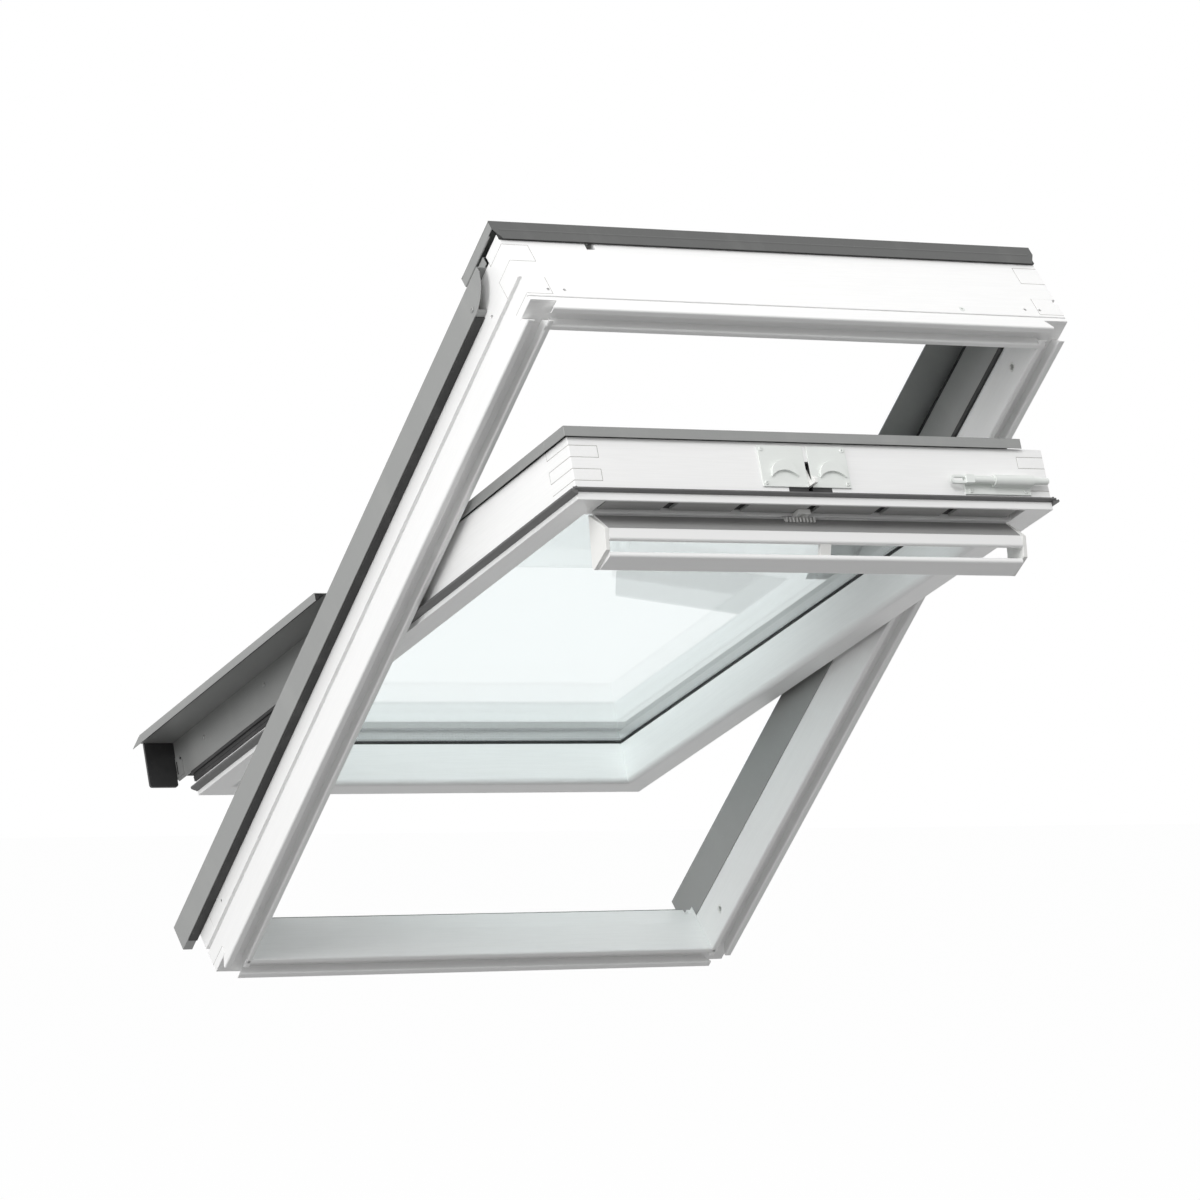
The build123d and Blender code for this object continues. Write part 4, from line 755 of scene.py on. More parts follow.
class Growers:
    """The geometry trees for what repeats."""

    def __init__(self) -> None:
        """Build the trees."""
        self.scatter = self._scatter()
        self.beads = self._beads()
        self.ribs = self._ribs()

    @staticmethod
    def _scatter() -> Tree:
        """Copies of one object at points, each turned to the point's own way."""
        tree = Tree(
            "screws at points",
            {"Screw": "NodeSocketObject", "Size": "NodeSocketFloat", "Finish": "NodeSocketMaterial"},
        )
        graph, start = tree.graph, tree.start
        points = graph.add("GeometryNodeMeshToPoints", {"Mesh": start.outputs["Geometry"]})
        way = graph.add("GeometryNodeInputNamedAttribute", {"Name": "way"}, data_type="FLOAT_VECTOR")
        turn = graph.add(
            "FunctionNodeAlignRotationToVector", {"Vector": way.outputs["Attribute"]}, axis="Z"
        )
        screw = graph.add("GeometryNodeObjectInfo", {"Object": start.outputs["Screw"]})
        copies = graph.add(
            "GeometryNodeInstanceOnPoints",
            {
                "Points": points.outputs[0],
                "Instance": screw.outputs["Geometry"],
                "Rotation": turn.outputs[0],
                "Scale": start.outputs["Size"],
            },
        )
        tree.close(copies.outputs[0])
        return tree

    @staticmethod
    def _beads() -> Tree:
        """Small beads at even steps along the input's edges."""
        tree = Tree(
            "beads on a line",
            {"Step": "NodeSocketFloat", "Radius": "NodeSocketFloat", "Finish": "NodeSocketMaterial"},
        )
        graph, start = tree.graph, tree.start
        curve = graph.add("GeometryNodeMeshToCurve", {"Mesh": start.outputs["Geometry"]})
        points = graph.add(
            "GeometryNodeCurveToPoints",
            {"Curve": curve.outputs[0], "Length": start.outputs["Step"]},
            mode="LENGTH",
        )
        bead = graph.add(
            "GeometryNodeMeshIcoSphere", {"Radius": start.outputs["Radius"], "Subdivisions": 1}
        )
        copies = graph.add(
            "GeometryNodeInstanceOnPoints",
            {"Points": points.outputs[0], "Instance": bead.outputs[0]},
        )
        tree.close(copies.outputs[0])
        return tree

    @staticmethod
    def _ribs() -> Tree:
        """A row of equal ribs."""
        tree = Tree(
            "row of ribs",
            {
                "Count": "NodeSocketInt",
                "First": "NodeSocketVector",
                "Step": "NodeSocketVector",
                "Size": "NodeSocketVector",
                "Finish": "NodeSocketMaterial",
            },
        )
        graph, start = tree.graph, tree.start
        row = graph.add(
            "GeometryNodeMeshLine",
            {
                "Count": start.outputs["Count"],
                "Start Location": start.outputs["First"],
                "Offset": start.outputs["Step"],
            },
        )
        rib = graph.add("GeometryNodeMeshCube", {"Size": start.outputs["Size"]})
        copies = graph.add(
            "GeometryNodeInstanceOnPoints", {"Points": row.outputs[0], "Instance": rib.outputs[0]}
        )
        tree.close(copies.outputs[0])
        return tree


@dataclass
class Screws:
    """Pan-head screws with a cross recess, grown at their places by one tree."""

    shop: Shop
    growers: Growers
    head_r: float = 3.6
    head_t: float = 1.6
    shank_r: float = 2.0
    shank_long: float = 6.0
    recess_half: float = 2.0
    recess_w: float = 0.8
    recess_deep: float = 0.9

    def pattern(self) -> bpy.types.Object:
        """Make the screw that the tree copies, its seat at the origin and its head along Z."""
        draft = Draft()
        top, edge = self.head_t, self.head_r
        draft.lathe(
            (0, 0, 0), (0, 0, 1),
            [
                (0, -self.shank_long), (self.shank_r, -self.shank_long + 1.0),
                (self.shank_r, 0), (edge, 0), (edge, top * 0.4), (edge * 0.93, top * 0.72),
                (edge * 0.74, top * 0.93), (edge * 0.5, top), (0, top),
            ],
            20,
        )
        screw = draft.plain("screw_pattern", sharp=50.0)
        cutter = Draft()
        for xs, ys in (
            (self.recess_half, self.recess_w / 2), (self.recess_w / 2, self.recess_half),
        ):
            cutter.block((-xs, xs), (-ys, ys), (top - self.recess_deep, top + 1.0))
        bmesh.ops.recalc_face_normals(cutter.bm, faces=cutter.bm.faces)
        tool = cutter.plain("screw_recess")
        cut = screw.modifiers.new("recess", "BOOLEAN")
        cut.operation, cut.solver, cut.object = "DIFFERENCE", "EXACT", tool
        cut.use_self = True
        settle(screw)
        bpy.data.objects.remove(tool)
        return screw

    def grow(
        self, name: str, seat: Seat, body: str, places: list[tuple[Point, Point]],
        replaced: Iterable[str] = (), size: float = 1.0, surface: Surface = Surface.STEEL,
    ) -> None:
        """Grow screws at their places.

        Args:
            name: The piece's name.
            seat: Where the drawn places are laid.
            body: The body that they ride on.
            places: The seat of each head, and the way that it faces.
            replaced: The CAD nodes that they stand for.
            size: Their size against the pattern.
            surface: Their finish.
        """
        pattern = self.pattern()
        mesh = bpy.data.meshes.new(name)
        mesh.from_pydata([place for place, _ in places], [], [])
        ways = mesh.attributes.new("way", "FLOAT_VECTOR", "POINT")
        ways.data.foreach_set("vector", [value for _, way in places for value in way])
        material = self.shop.palette.get(surface)
        values = {"Screw": pattern, "Size": size, "Finish": material}
        piece = self.growers.scatter.grow(name, mesh, values)
        piece.data.transform(seat.matrix)
        bpy.data.objects.remove(pattern)
        self.shop.register(piece, body, surface, replaced)

    def build(self) -> None:
        """Place every screw that the CAD model has."""
        frame_places: list[tuple[Point, Point]] = []
        sash_places: list[tuple[Point, Point]] = []
        clad_places: list[tuple[Point, Point]] = []
        web_places: list[tuple[Point, Point]] = []
        for _, sign in SIDES:
            clad_places.append(((sign * 404.0, 78.8, 502.0), (sign, 0, 0)))
            for y, z in ((66.0, -48.0), (66.0, 48.0), (92.0, -48.0), (92.0, 48.0)):
                frame_places.append(((sign * 351.9, y, z), (-sign, 0, 0)))
            for y, z in ((65.3, -6.0), (65.3, 73.0), (91.3, 73.0)):
                sash_places.append(((sign * 346.4, y, z), (sign, 0, 0)))
            for y, z in ((92.3, -501.0), (97.3, -311.0), (97.3, -120.0)):
                web_places.append(((sign * 345.2, y, z), (sign, 0, 0)))
        plate_places = [((x, y, 533.0), (0, 0, 1)) for x in (-74.0, 43.0) for y in (52.3, 96.3)]
        plate_places += [((x, 47.7, 533.0), (0, 0, 1)) for x in (224.0, 306.0)]
        self.grow("frame_screw_heads", Seat.FRAME, "frame", frame_places, ["frame_screws"])
        self.grow("sash_screw_heads", Seat.SASH, "sash", sash_places, ["sash_screws"])
        self.grow("cladding_screw_heads", Seat.FRAME, "frame", clad_places, surface=Surface.SHEET)
        self.grow("web_screw_heads", Seat.SASH, "sash", web_places, surface=Surface.SASH_SHEET)
        self.grow(
            "plate_screw_heads", Seat.SASH, "sash", plate_places, size=0.8, surface=Surface.PLATE
        )


@dataclass
class FrameTimbers:
    """The outer frame's stiles and rails, with their bushes and plug."""

    shop: Shop
    edge: float = 0.9
    lip_slope: float = 0.8
    lip_reach: float = 4.0
    patch: float = 31.0

    def build(self) -> None:
        """Ease the edges and slope the ends of the lips."""
        for side, _ in SIDES:
            self.shop.eased(
                f"frame_{side}_stile", "frame", Surface.STILE_TIMBER, self.edge,
                shape=lambda draft: self._slope(draft, 2, HALF_H - self.patch),
            )
        for node in ("frame_head_rail", "frame_bottom_rail"):
            self.shop.eased(
                node, "frame", Surface.RAIL_TIMBER, self.edge,
                shape=lambda draft: self._slope(draft, 0, IN_X),
            )
        self._bushes()
        self._plug()

    def _slope(self, draft: Draft, axis: int, end: float) -> None:
        """Draw the ends of the lips in towards their crest.

        Args:
            draft: The copy of a timber.
            axis: The axis that its lips run along.
            end: How far from the middle they end.
        """
        into = Seat.FRAME.matrix.inverted()
        for vert in draft.bm.verts:
            place = into @ vert.co
            if place.y < -0.2 and end - self.lip_reach < abs(place[axis]) < end + 0.5:
                place[axis] += math.copysign(self.lip_slope * place.y, place[axis])
                vert.co = Seat.FRAME.matrix @ place

    def _bushes(self) -> None:
        """Turn the four bushes with a lip and a countersunk bore."""
        draft = Draft()
        profile = [
            (3.5, 0.4), (4.4, -0.5), (5.9, -0.5), (6.4, -0.1), (6.5, 0.6), (6.5, 12.0), (3.5, 12.0),
        ]
        for _, sign in SIDES:
            for z in (-500.0, 500.0):
                draft.lathe((sign * IN_X, 12.0, z), (sign, 0, 0), profile)
        piece = draft.plain("stile_bush_rings", Seat.FRAME)
        self.shop.register(piece, "frame", Surface.WHITE_PLASTIC, ["stile_bushes"])

    def _plug(self) -> None:
        """Turn the plug in the head's face, with its pull hole."""
        draft = Draft()
        profile = [
            (0.0, -2.0), (1.1, -2.0), (1.3, 0.25), (3.0, 0.35), (3.7, 0.1), (3.95, -0.3),
            (3.95, -6.0), (0.0, -6.0),
        ]
        draft.lathe((237.0, 16.0, HALF_H), (0, 0, 1), profile, 24)
        piece = draft.plain("head_plug_cap", Seat.FRAME)
        self.shop.register(piece, "frame", Surface.PLATE, ["head_plug"])


@dataclass
class JointLines:
    """The dark lines at the bottom of the comb joints' eased edges."""

    shop: Shop
    half: float = 0.32
    deep: tuple[float, float] = (0.25, 0.7)
    head: tuple[float, ...] = (12.0, 41.5, 71.0, 100.5)
    sill: tuple[float, ...] = (12.0, 41.5)
    sash: tuple[float, ...] = (50.3, 65.3, 80.3, 95.3)

    def build(self) -> None:
        """Lay the lines of the frame's and the sash's corners."""
        frame, sash = Draft(), Draft()
        for _, sign in SIDES:
            self._corner(frame, sign, (IN_X, HALF_W), (IN_Z, HALF_H), self.head, 107.0)
            self._corner(frame, sign, (IN_X, HALF_W), (-IN_Z, -HALF_H), self.sill, 66.0)
            self._corner(sash, sign, (GLASS_X, SASH_X), (GLASS_TOP, SASH_TOP), self.sash, SASH_OUT)
        for name, draft, seat, body in (
            ("frame_joint_lines", frame, Seat.FRAME, "frame"),
            ("sash_joint_lines", sash, Seat.SASH, "sash"),
        ):
            self.shop.register(draft.plain(name, seat), body, Surface.JOINT)

    def _corner(
        self, draft: Draft, sign: int, xs: Point, zs: Point, cuts: Sequence[float], out: float
    ) -> None:
        """Lay the lines of one corner on its end face and its side face.

        Args:
            draft: The draft that takes the lines.
            sign: The side.
            xs: The joint's inner and outer X.
            zs: The joint's inner and outer Z.
            cuts: The Y of each cut between two fingers.
            out: Where the joint ends.
        """
        up = math.copysign(1.0, zs[1] - zs[0])
        near, far = self.deep
        end_zs = sorted((zs[1] - up * near, zs[1] - up * far))
        side_xs = sorted((sign * (xs[1] - near), sign * (xs[1] - far)))
        across = sorted((sign * xs[0], sign * (xs[1] - near)))
        along = sorted((zs[0], zs[1] - up * near))
        for cut in cuts:
            band = (cut - self.half, cut + self.half)
            draft.block(across, band, end_zs)
            draft.block(side_xs, band, along)
        bands = list(zip(cuts, [*cuts[1:], out]))
        for index, (low, high) in enumerate(bands):
            if index % 2 == 0:
                x = sign * xs[0]
                draft.block((x - self.half, x + self.half), (low, high), end_zs)
            else:
                draft.block(side_xs, (low, high), (zs[0] - self.half, zs[0] + self.half))


@dataclass
class FrameSheet:
    """The claddings and covers of the outer frame."""

    shop: Shop
    edge: float = 0.35
    hood_half: float = 395.0
    hood_chamfer: float = 9.0
    hood_out: tuple[float, float, float] = (107.0, 124.0, 138.0)
    hood_back: float = 500.0
    hood_z: float = 593.2

    def build(self) -> None:
        """Ease the bent sheets and draw the hood."""
        self.shop.eased("sill_cladding", "frame", Surface.SHEET, self.edge)
        for side, _ in SIDES:
            for part in ("side_cladding", "upper_cover"):
                self.shop.eased(f"{side}_{part}", "frame", Surface.SHEET, self.edge)
        self._hood_front()
        self._hood_roof()

    def _hood_front(self) -> None:
        """Draw the hood's front with its pressed rib, in a darker copy of the coated sheet that paints
        the shade on it.
        """
        draft = Draft()
        half, chamfer = self.hood_half, self.hood_chamfer
        low, foot, high = self.hood_out
        outline = [
            (-half + chamfer, low), (half - chamfer, low), (half, foot), (half, high),
            (-half, high), (-half, foot),
        ]
        draft.prism(outline, "Z", self.hood_z - 1.2, self.hood_z - 0.35)
        middle = (low + high) / 2
        rib = [
            (middle - 2.2, self.hood_z - 0.5), (middle - 0.6, self.hood_z - 0.02),
            (middle + 0.6, self.hood_z - 0.02), (middle + 2.2, self.hood_z - 0.5),
        ]
        draft.prism(rib, "X", -half + chamfer, half - chamfer)
        piece = draft.plain("hood_front", Seat.FRAME)
        # The darker sheet here is painted shade, not a different paint.
        self.shop.register(piece, "frame", Surface.SHADED_HOOD_SHEET, ["head_cladding"])

    def _hood_roof(self) -> None:
        """Draw the hood's roof and its two wings with a rolled hem."""
        draft = Draft()
        half, back, front = self.hood_half, self.hood_back, self.hood_z - 0.4
        _, foot, high = self.hood_out
        draft.block((-half, half), (high - 1.2, high), (back, front))
        for _, sign in SIDES:
            xs = sorted((sign * half, sign * (half - 1.2)))
            draft.block(xs, (foot, high), (back, front))
            hem = [(0.0, 0.0), (1.5, 0.0), (1.5, front - back - 12.0), (0.0, front - back - 12.0)]
            draft.lathe((sign * (half - 1.5), foot, back), (0, 0, 1), hem, 16)
        draft.ease(0.3, 3.0)
        piece = draft.plain("hood_roof", Seat.FRAME)
        self.shop.register(piece, "frame", Surface.SHEET)


@dataclass
class FrameSeals:
    """The seals and mouldings of the outer frame, and a black strip of painted shade under each side
    cladding.
    """

    shop: Shop

    def build(self) -> None:
        """Draw each seal with its own profile, and the strip of painted shade under each side cladding.
        """
        for side, sign in SIDES:
            self._extrude(
                f"{side}_bulb_gasket", f"{side}_frame_gasket", sign,
                [
                    (IN_X, 42.0), (351.9, 42.0), (350.7, 42.8), (350.3, 44.2), (350.3, 47.3),
                    (350.7, 48.7), (351.9, 49.5), (IN_X, 49.5),
                ],
                95.0, 545.0,
            )
            self._extrude(
                f"{side}_cover_lip", f"{side}_cover_gasket", sign,
                [
                    (359.5, 108.2), (373.5, 108.2), (373.5, 110.6), (370.0, 111.2), (369.0, 114.0),
                    (371.5, 117.6), (371.2, 119.6), (360.2, 119.6), (359.9, 117.4), (362.8, 114.2),
                    (361.8, 111.4), (359.5, 110.6),
                ],
                30.0, 545.0,
            )
            self._extrude(
                f"{side}_end_strip", f"{side}_end_profile", sign,
                [
                    (390.3, 69.2), (402.8, 69.2), (402.8, 81.2), (400.8, 81.2), (400.8, 73.4),
                    (398.2, 72.6), (394.4, 77.4), (393.0, 76.4), (396.2, 72.0), (390.3, 71.2),
                ],
                -619.0, -589.0,
            )
            # A black rubber strip under the side cladding's lower leg: painted shade in the gap to the
            # timber.
            self._extrude(
                f"{side}_leg_strip", "", sign,
                [(390.2, 66.4), (402.9, 66.4), (402.9, 67.95), (390.2, 67.95)], -600.0, 500.0,
            )
        self.shop.dress("hood_seal", Surface.RUBBER)

    def _extrude(
        self, name: str, node: str, sign: int, outline: Sequence[Point], low: float, high: float
    ) -> None:
        """Extrude a seal, or a strip of painted shade, up the slope.

        Args:
            name: The piece's name.
            node: The CAD node that it stands for, if any.
            sign: The side.
            outline: Its X, Y outline on the right side.
            low: Where it starts.
            high: Where it ends.
        """
        draft = Draft()
        draft.prism(sided(sign, outline), "Z", low, high)
        piece = draft.plain(name, Seat.FRAME)
        self.shop.register(piece, "frame", Surface.RUBBER, [node] if node else [])


@dataclass
class SashTimbers:
    """The sash's stiles and rails."""

    shop: Shop
    edge: float = 0.9

    def build(self) -> None:
        """Ease the edges of the four timbers."""
        for side, _ in SIDES:
            self.shop.eased(f"sash_{side}_stile", "sash", Surface.SASH_STILE_TIMBER, self.edge)
        for node in ("sash_top_rail", "sash_bottom_rail"):
            self.shop.eased(node, "sash", Surface.SASH_RAIL_TIMBER, self.edge)


@dataclass
class GlassUnit:
    """The sealed double glazing and its seals."""

    shop: Shop
    growers: Growers
    hole_step: float = 5.0
    hole_r: float = 0.55
    hole_rows: tuple[float, ...] = (92.9, 96.4, 99.9)

    def build(self) -> None:
        """Dress the panes and spacer, and add the painted shade of the spacer's holes and the outer
        gasket.
        """
        for node in ("inner_pane", "outer_pane"):
            self.shop.dress(node, Surface.PANE)
        self.shop.dress("glazing_spacer", Surface.SPACER)
        self.shop.dress("glazing_sealant", Surface.BLACK_PLASTIC)
        self.shop.dress("glazing_bed", Surface.RUBBER)
        self._holes()
        self._gasket()

    def _holes(self) -> None:
        """Grow near-black beads on the spacer's visible face as painted shade of its fine holes."""
        x, low, high = GLASS_X - 1.0, GLASS_LOW + 1.0, GLASS_TOP - 1.0
        mesh = bpy.data.meshes.new("spacer_holes")
        points, edges = [], []
        for y in self.hole_rows:
            base = len(points)
            points += [(-x, y, low), (x, y, low), (x, y, high), (-x, y, high)]
            edges += [(base + i, base + (i + 1) % 4) for i in range(4)]
        mesh.from_pydata(points, edges, [])
        values = {
            "Step": self.hole_step,
            "Radius": self.hole_r,
            "Finish": self.shop.palette.get(Surface.HOLE_SHADE),
        }
        piece = self.growers.beads.grow("spacer_holes", mesh, values)
        piece.data.transform(Seat.SASH.matrix)
        self.shop.register(piece, "sash", Surface.HOLE_SHADE)

    def _gasket(self) -> None:
        """Sweep the gasket between the outer pane and the claddings."""
        x, low, high = 312.0, -497.0, 485.5
        draft = Draft()
        path = [(-x, low), (x, low), (x, high), (-x, high)]
        profile = [
            (0.0, 106.9), (0.7, 106.9), (1.4, 107.6), (1.4, 108.8), (0.6, 109.3), (-7.0, 109.3),
            (-7.0, 106.9),
        ]
        draft.sweep(path, profile, closed=True)
        piece = draft.plain("glazing_lip", Seat.SASH)
        self.shop.register(piece, "sash", Surface.RUBBER, ["glazing_gasket"])


@dataclass
class SashSheet:
    """The claddings, lower covers and end caps of the sash."""

    shop: Shop
    edge: float = 0.35

    def build(self) -> None:
        """Ease the bent sheets."""
        for node in ("sash_top_cladding", "sash_bottom_cladding"):
            self.shop.eased(node, "sash", Surface.SASH_SHEET, self.edge)
        for side, _ in SIDES:
            for node in (f"sash_{side}_side_cladding", f"sash_{side}_lower_web", f"{side}_lower_cover"):
                self.shop.eased(node, "sash", Surface.SASH_SHEET, self.edge)
            self.shop.eased(f"{side}_cover_end_cap", "sash", Surface.BLACK_PLASTIC, 0.6)
        for side, sign in SIDES:
            self._cover_strip(side, sign)
            self._end_clip(side, sign)

    def _cover_strip(self, side: str, sign: int) -> None:
        """Lay a black rubber strip in the corner under a lower cover's lip, as painted shade in that
        corner.
        """
        draft = Draft()
        outline = [
            (407.1, 115.9), (394.0, 115.9), (394.0, 114.6), (400.0, 113.4), (404.6, 108.4),
            (407.1, 108.0),
        ]
        # Black strip standing for the shade under the lower cover's lip.
        draft.prism(sided(sign, outline), "Z", -562.0, -26.0)
        piece = draft.plain(f"{side}_cover_strip", Seat.SASH)
        self.shop.register(piece, "sash", Surface.RUBBER)

    def _end_clip(self, side: str, sign: int) -> None:
        """Draw the pressed clip at the foot of a lower web, with black patches flush in it as painted
        shade of its slot and hole.
        """
        plate, dark = Draft(), Draft()
        x = 345.2
        plate.prism(
            [(66.0, -600.0), (94.0, -600.0), (94.0, -578.0), (84.0, -571.0), (66.0, -571.0)],
            "X", *sorted((sign * x, sign * (x + 1.0))),
        )
        plate.ease(0.4, 2.0)
        self.shop.register(
            plate.plain(f"{side}_end_clip", Seat.SASH), "sash", Surface.SASH_SHEET
        )
        # Black patches in the clip's face: painted shade of its slot and its hole, which are not cut.
        deep = sorted((sign * (x + 0.2), sign * (x + 1.05)))
        dark.block(deep, (70.0, 88.0), (-589.0, -586.0))
        rim = [(0.0, 0.2), (1.9, 0.2), (1.9, 1.05), (0.0, 1.05)]
        dark.lathe((sign * x, 89.0, -575.5), (sign, 0, 0), rim, 16)
        self.shop.register(
            dark.plain(f"{side}_end_clip_slots", Seat.SASH), "sash", Surface.BLACK_PLASTIC
        )


@dataclass
class SashSeals:
    """The weather seals round the sash."""

    shop: Shop
    face: float = SASH_FACE + 6.0
    top_face: float = SASH_FACE + 10.0
    top_share: float = 0.62
    section: tuple[tuple[float, float], ...] = (
        (0.0, 0.0), (1.6, 0.0), (2.3, 0.8), (5.0, 1.5), (8.3, 3.0), (9.2, 4.0), (9.2, 5.9),
        (8.4, 6.8), (5.8, 6.1), (3.6, 6.6), (2.3, 8.0), (2.0, 10.0), (0.0, 10.0),
    )

    def build(self) -> None:
        """Sweep the upper seal round the top, and run the lower ones down."""
        profile = [(off, self.face + y) for off, y in self.section]
        draft = Draft()
        for sign in (-1, 1):
            outline = [(sign * (SASH_X + off), y) for off, y in profile]
            draft.prism(outline, "Z", SASH_LOW, -78.0)
            draft.prism(outline, "Z", 78.0, SASH_TOP + 4.0)
        top = [(self.top_face + y * self.top_share, SASH_TOP + off * self.top_share)
               for off, y in self.section]
        draft.prism(top, "X", -SASH_X - 4.0, SASH_X + 4.0)
        piece = draft.plain("sash_lip_seal", Seat.SASH)
        self.shop.register(piece, "sash", Surface.SEAL, ["sash_seal"])
        lower = Draft()
        section = [
            (0.0, 0.0), (2.0, 0.0), (2.0, 4.0), (3.0, 5.0), (2.0, 6.0), (2.0, 10.0), (4.2, 10.2),
            (5.0, 11.0), (5.0, 14.2), (4.2, 15.0), (0.0, 15.0),
        ]
        for sign in (-1, 1):
            outline = [(sign * (SASH_X + off), SASH_FACE + 20.0 + y) for off, y in section]
            lower.prism(outline, "Z", SASH_LOW, -78.0)
        piece = lower.plain("lower_ribbed_seal", Seat.SASH)
        self.shop.register(piece, "sash", Surface.RUBBER, ["lower_seal"])


@dataclass
class Ironmongery:
    """The hinges, the lock, the barrel bolt and their plates."""

    shop: Shop
    growers: Growers

    def build(self) -> None:
        """Ease the metal pieces and add the lock's small parts."""
        for side, _ in SIDES:
            self.shop.eased(f"{side}_frame_hinge", "frame", Surface.STEEL, 0.3, 2.0)
            self.shop.eased(f"{side}_sash_hinge", "sash", Surface.STEEL, 0.3, 2.0)
        self.shop.eased("striker_plate", "frame", Surface.STEEL, 0.3)
        self.shop.dress("bolt_keeper", Surface.GREY_PLASTIC)
        self.shop.dress("lock_case", Surface.BLACK_PLASTIC)
        self.shop.eased("lock_plates", "sash", Surface.PLATE, 0.4, 1.0)
        self.shop.eased("latch", "latch", Surface.WHITE_PLASTIC, 0.5, 2.0)
        self.shop.eased("bolt_barrel", "sash", Surface.PLATE, 0.3)
        self.shop.eased("barrel_bolt", "bolt", Surface.PLATE, 0.3)


@dataclass
class ControlBar:
    """The pull bar with its flap, cheeks and bracket, and the vent behind it."""

    shop: Shop
    growers: Growers

    def build(self) -> None:
        """Ease the bar's pieces, line the flap and grow the vent's filter."""
        self.shop.eased("vent_flap", "control_bar", Surface.WHITE_METAL, 0.3, 20.0)
        self.shop.eased("grip_bar", "control_bar", Surface.WHITE_METAL, 0.3, 20.0)
        self.shop.eased("bar_end_caps", "control_bar", Surface.WHITE_PLASTIC, 0.8)
        self.shop.eased("bar_bracket", "control_bar", Surface.WHITE_PLASTIC, 0.5)
        self.shop.eased("lock_face", "sash", Surface.WHITE_PLASTIC, 0.5)
        self._liner()
        self._hinge_rod()
        self._teeth()
        self._filter()

    def _leaf(self, along: float, off: float) -> tuple[float, float]:
        """Return the Y, Z of a point on the flap's outer face, from its hinge and off the face."""
        return (24.3 - 0.7146 * along + 0.6996 * off, 487.0 + 0.6996 * along + 0.7146 * off)

    def _liner(self) -> None:
        """Lay the grey liner on the flap's outer face; its dark grey is partly painted shade of the
        recessed flap.
        """
        draft = Draft()
        outline = [self._leaf(3.0, 0.05), self._leaf(38.5, 0.05), self._leaf(38.5, 0.5),
                   self._leaf(3.0, 0.5)]
        draft.prism(outline, "X", -298.0, 298.0)
        piece = draft.plain("flap_liner", Seat.SASH)
        self.shop.register(piece, "control_bar", Surface.LINER_AND_SHADE)

    def _hinge_rod(self) -> None:
        """Draw the bright hinge rod above the flap, which stops at the lock."""
        draft = Draft()
        for low, high in ((-303.0, -34.0), (12.0, 30.0), (96.0, 302.0)):
            rod = [(0.0, 0.0), (0.9, 0.0), (0.9, high - low), (0.0, high - low)]
            draft.lathe((low, 24.6, 490.6), (1, 0, 0), rod, 12)
        piece = draft.plain("flap_hinge_rod", Seat.SASH)
        self.shop.register(piece, "sash", Surface.WHITE_METAL)

    def _teeth(self) -> None:
        """Grow the small teeth that guide the flap at the lock."""
        values = {
            "Count": 9,
            "First": (-31.0, 19.0, 494.5),
            "Step": (5.0, 0.0, 0.0),
            "Size": (2.4, 6.0, 5.0),
            "Finish": self.shop.palette.get(Surface.WHITE_PLASTIC),
        }
        piece = self.growers.ribs.grow("flap_guide_teeth", bpy.data.meshes.new("teeth"), values)
        piece.data.transform(Seat.SASH.matrix)
        self.shop.register(piece, "control_bar", Surface.WHITE_PLASTIC)

    def _filter(self) -> None:
        """Grow the filter's frames in the vent opening."""
        half, low, high = GLASS_X, 492.0, 527.0
        draft = Draft()
        draft.block((-half, half), (32.5, 39.3), (low, high))
        bed = draft.plain("vent_filter_bed", Seat.SASH)
        self.shop.register(bed, "sash", Surface.BLACK_PLASTIC, ["vent_filter"])
        count = 6
        step = 2 * half / count
        values = {
            "Count": count,
            "First": (-half + step / 2, 30.6, (low + high) / 2),
            "Step": (step, 0.0, 0.0),
            "Size": (step - 14.0, 3.9, high - low - 5.0),
            "Finish": self.shop.palette.get(Surface.FILTER),
        }
        piece = self.growers.ribs.grow("vent_filter_mats", bpy.data.meshes.new("mats"), values)
        piece.data.transform(Seat.SASH.matrix)
        self.shop.register(piece, "sash", Surface.FILTER)


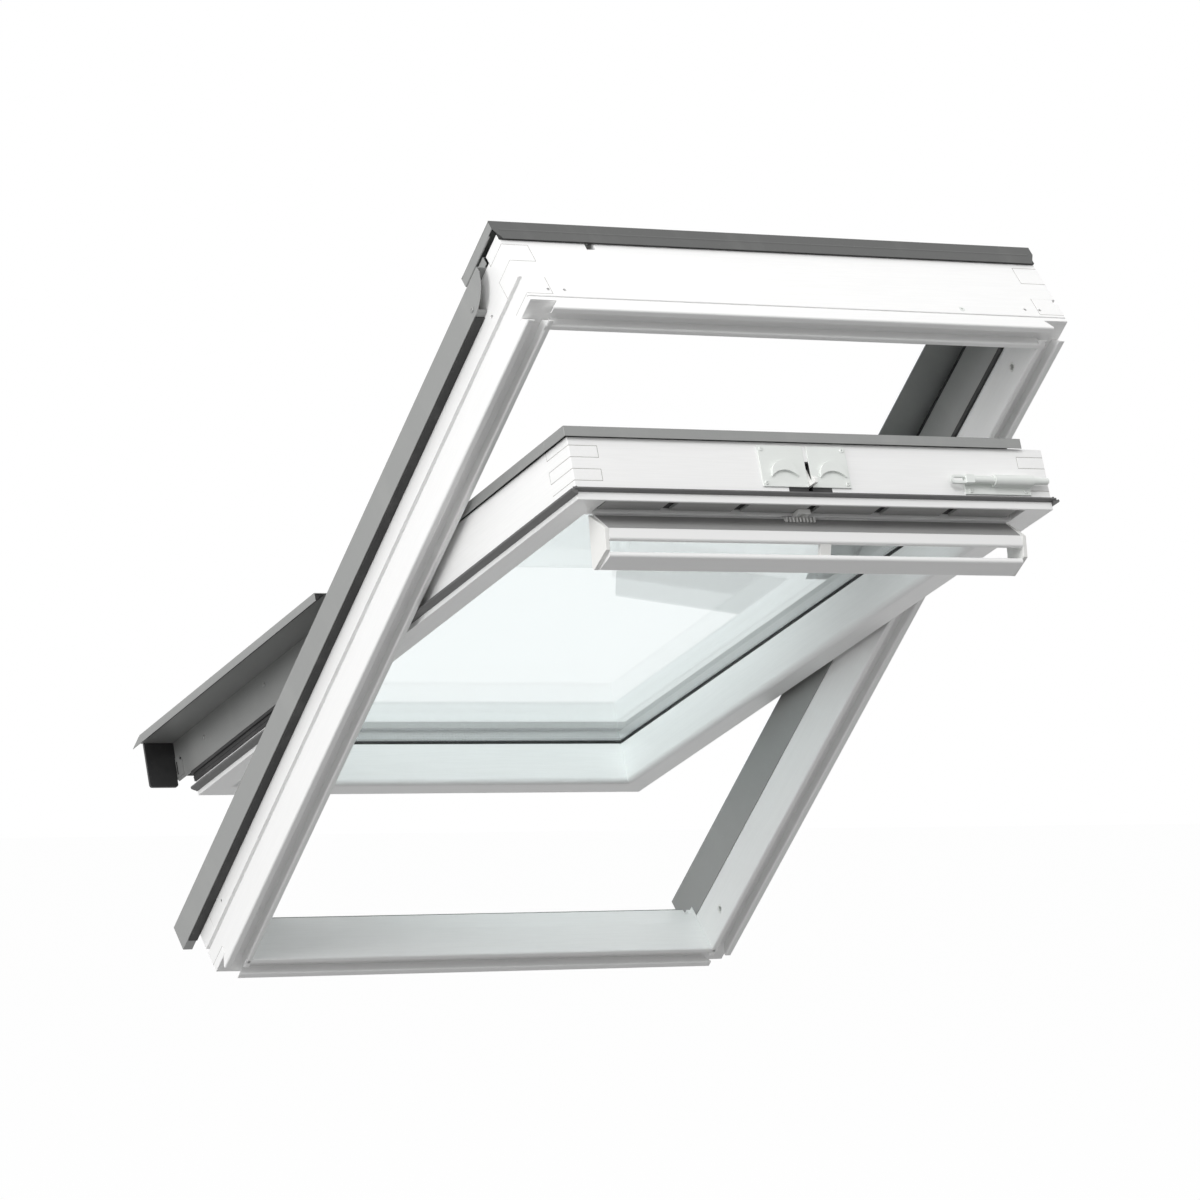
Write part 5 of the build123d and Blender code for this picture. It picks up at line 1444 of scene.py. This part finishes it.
@dataclass
class Studio:
    """The camera, the soft lamps, the pale floor and the world."""

    camera_at: tuple[float, float, float] = (-3.779, -6.792, 0.321)
    yaw: float = 30.40
    pitch: float = 1.13
    lens: float = 172.38
    floor_z: float = -0.55
    world_below: float = 0.10
    world_above: float = 0.95
    lamps: tuple = field(
        default=(
            ("key", (-3.4, -4.4, 5.4), 3.2, 185.0),
            ("side", (-6.0, -1.6, 1.8), 3.0, 160.0),
        )
    )

    def build(self) -> None:
        """Make everything that the window stands in."""
        self._camera()
        self._lights()
        self._world()
        self._floor()
        bpy.context.scene.view_settings.view_transform = "Standard"

    def _camera(self) -> None:
        """Place the camera where the photograph was taken from."""
        data = bpy.data.cameras.new("camera")
        data.lens, data.sensor_width = self.lens, 36.0
        data.clip_start, data.clip_end = 0.1, 60.0
        camera = bpy.data.objects.new("camera", data)
        camera.location = self.camera_at
        camera.rotation_euler = (math.radians(90.0 + self.pitch), 0.0, math.radians(-self.yaw))
        bpy.context.scene.collection.objects.link(camera)
        bpy.context.scene.camera = camera

    def _lights(self) -> None:
        """Hang the soft lamps, all facing the window."""
        aim = Vector((0.0, -0.4, 0.4))
        for name, place, size, power in self.lamps:
            data = bpy.data.lights.new(name, "AREA")
            data.shape, data.size, data.energy = "DISK", size, power
            lamp = bpy.data.objects.new(name, data)
            lamp.location = place
            lamp.rotation_euler = (aim - Vector(place)).to_track_quat("-Z", "Y").to_euler()
            bpy.context.scene.collection.objects.link(lamp)

    def _seen(self, graph: Graph) -> bpy.types.NodeSocket:
        """Return 1 for the rays that show the background."""
        path = graph.add("ShaderNodeLightPath")
        seen = graph.math("MAXIMUM", path.outputs["Is Camera Ray"], path.outputs["Is Glossy Ray"])
        return graph.math("MAXIMUM", seen, path.outputs["Is Transmission Ray"])

    def _world(self) -> None:
        """Make the world white where it is seen, and where it lights stronger from above."""
        world = bpy.data.worlds.new("studio")
        bpy.context.scene.world = world
        world.use_nodes = True
        graph = Graph(world.node_tree)
        graph.tree.nodes.clear()
        way = graph.add("ShaderNodeTexCoord").outputs["Generated"]
        height = graph.add("ShaderNodeSeparateXYZ", {0: way}).outputs["Z"]
        inputs = {
            "Value": height, "From Min": -0.25, "From Max": 0.7, "To Min": self.world_below,
            "To Max": self.world_above,
        }
        soft = graph.add("ShaderNodeMapRange", inputs).outputs[0]
        level = graph.math("MAXIMUM", soft, self._seen(graph))
        back = graph.add("ShaderNodeBackground", {"Color": (1.0, 1.0, 1.0, 1.0), "Strength": level})
        graph.add("ShaderNodeOutputWorld", {"Surface": back.outputs[0]})

    def _floor(self) -> None:
        """Lay the floor, which shows white apart from the window's shadow."""
        mesh = bpy.data.meshes.new("floor")
        reach = 30.0
        corners = [(-reach, -reach), (reach, -reach), (reach, reach), (-reach, reach)]
        mesh.from_pydata([(x, y, self.floor_z) for x, y in corners], [], [(0, 1, 2, 3)])
        floor = bpy.data.objects.new("floor", mesh)
        bpy.context.scene.collection.objects.link(floor)
        made = bpy.data.materials.new("pale floor")
        made.use_nodes = True
        graph = Graph(made.node_tree)
        graph.tree.nodes.clear()
        matt = graph.add("ShaderNodeBsdfDiffuse", {"Color": (0.3, 0.3, 0.3, 1.0)})
        glow = graph.add("ShaderNodeEmission", {"Color": (1.0, 1.0, 1.0, 1.0), "Strength": 1.07})
        seen = graph.math("MULTIPLY", self._seen(graph), 0.9)
        shown = graph.add(
            "ShaderNodeMixShader", {0: seen, 1: matt.outputs[0], 2: glow.outputs[0]}
        )
        clear = graph.add("ShaderNodeBsdfTransparent")
        back = graph.add("ShaderNodeNewGeometry").outputs["Backfacing"]
        one_sided = graph.add(
            "ShaderNodeMixShader", {0: back, 1: shown.outputs[0], 2: clear.outputs[0]}
        )
        graph.add("ShaderNodeOutputMaterial", {"Surface": one_sided.outputs[0]})
        mesh.materials.append(made)


def main() -> None:
    """Build the studio and every sub-assembly, in order."""
    logging.basicConfig(level=logging.INFO, format="%(name)s: %(message)s")
    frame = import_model()
    Studio().build()
    shop = Shop(frame)
    growers = Growers()
    for part in (
        FrameTimbers(shop), JointLines(shop), FrameSheet(shop), FrameSeals(shop), SashTimbers(shop),
        GlassUnit(shop, growers), SashSheet(shop), SashSeals(shop), Ironmongery(shop, growers),
        ControlBar(shop, growers), Screws(shop, growers),
    ):
        LOG.info("building %s", type(part).__name__)
        part.build()


if __name__ == "__main__":
    main()
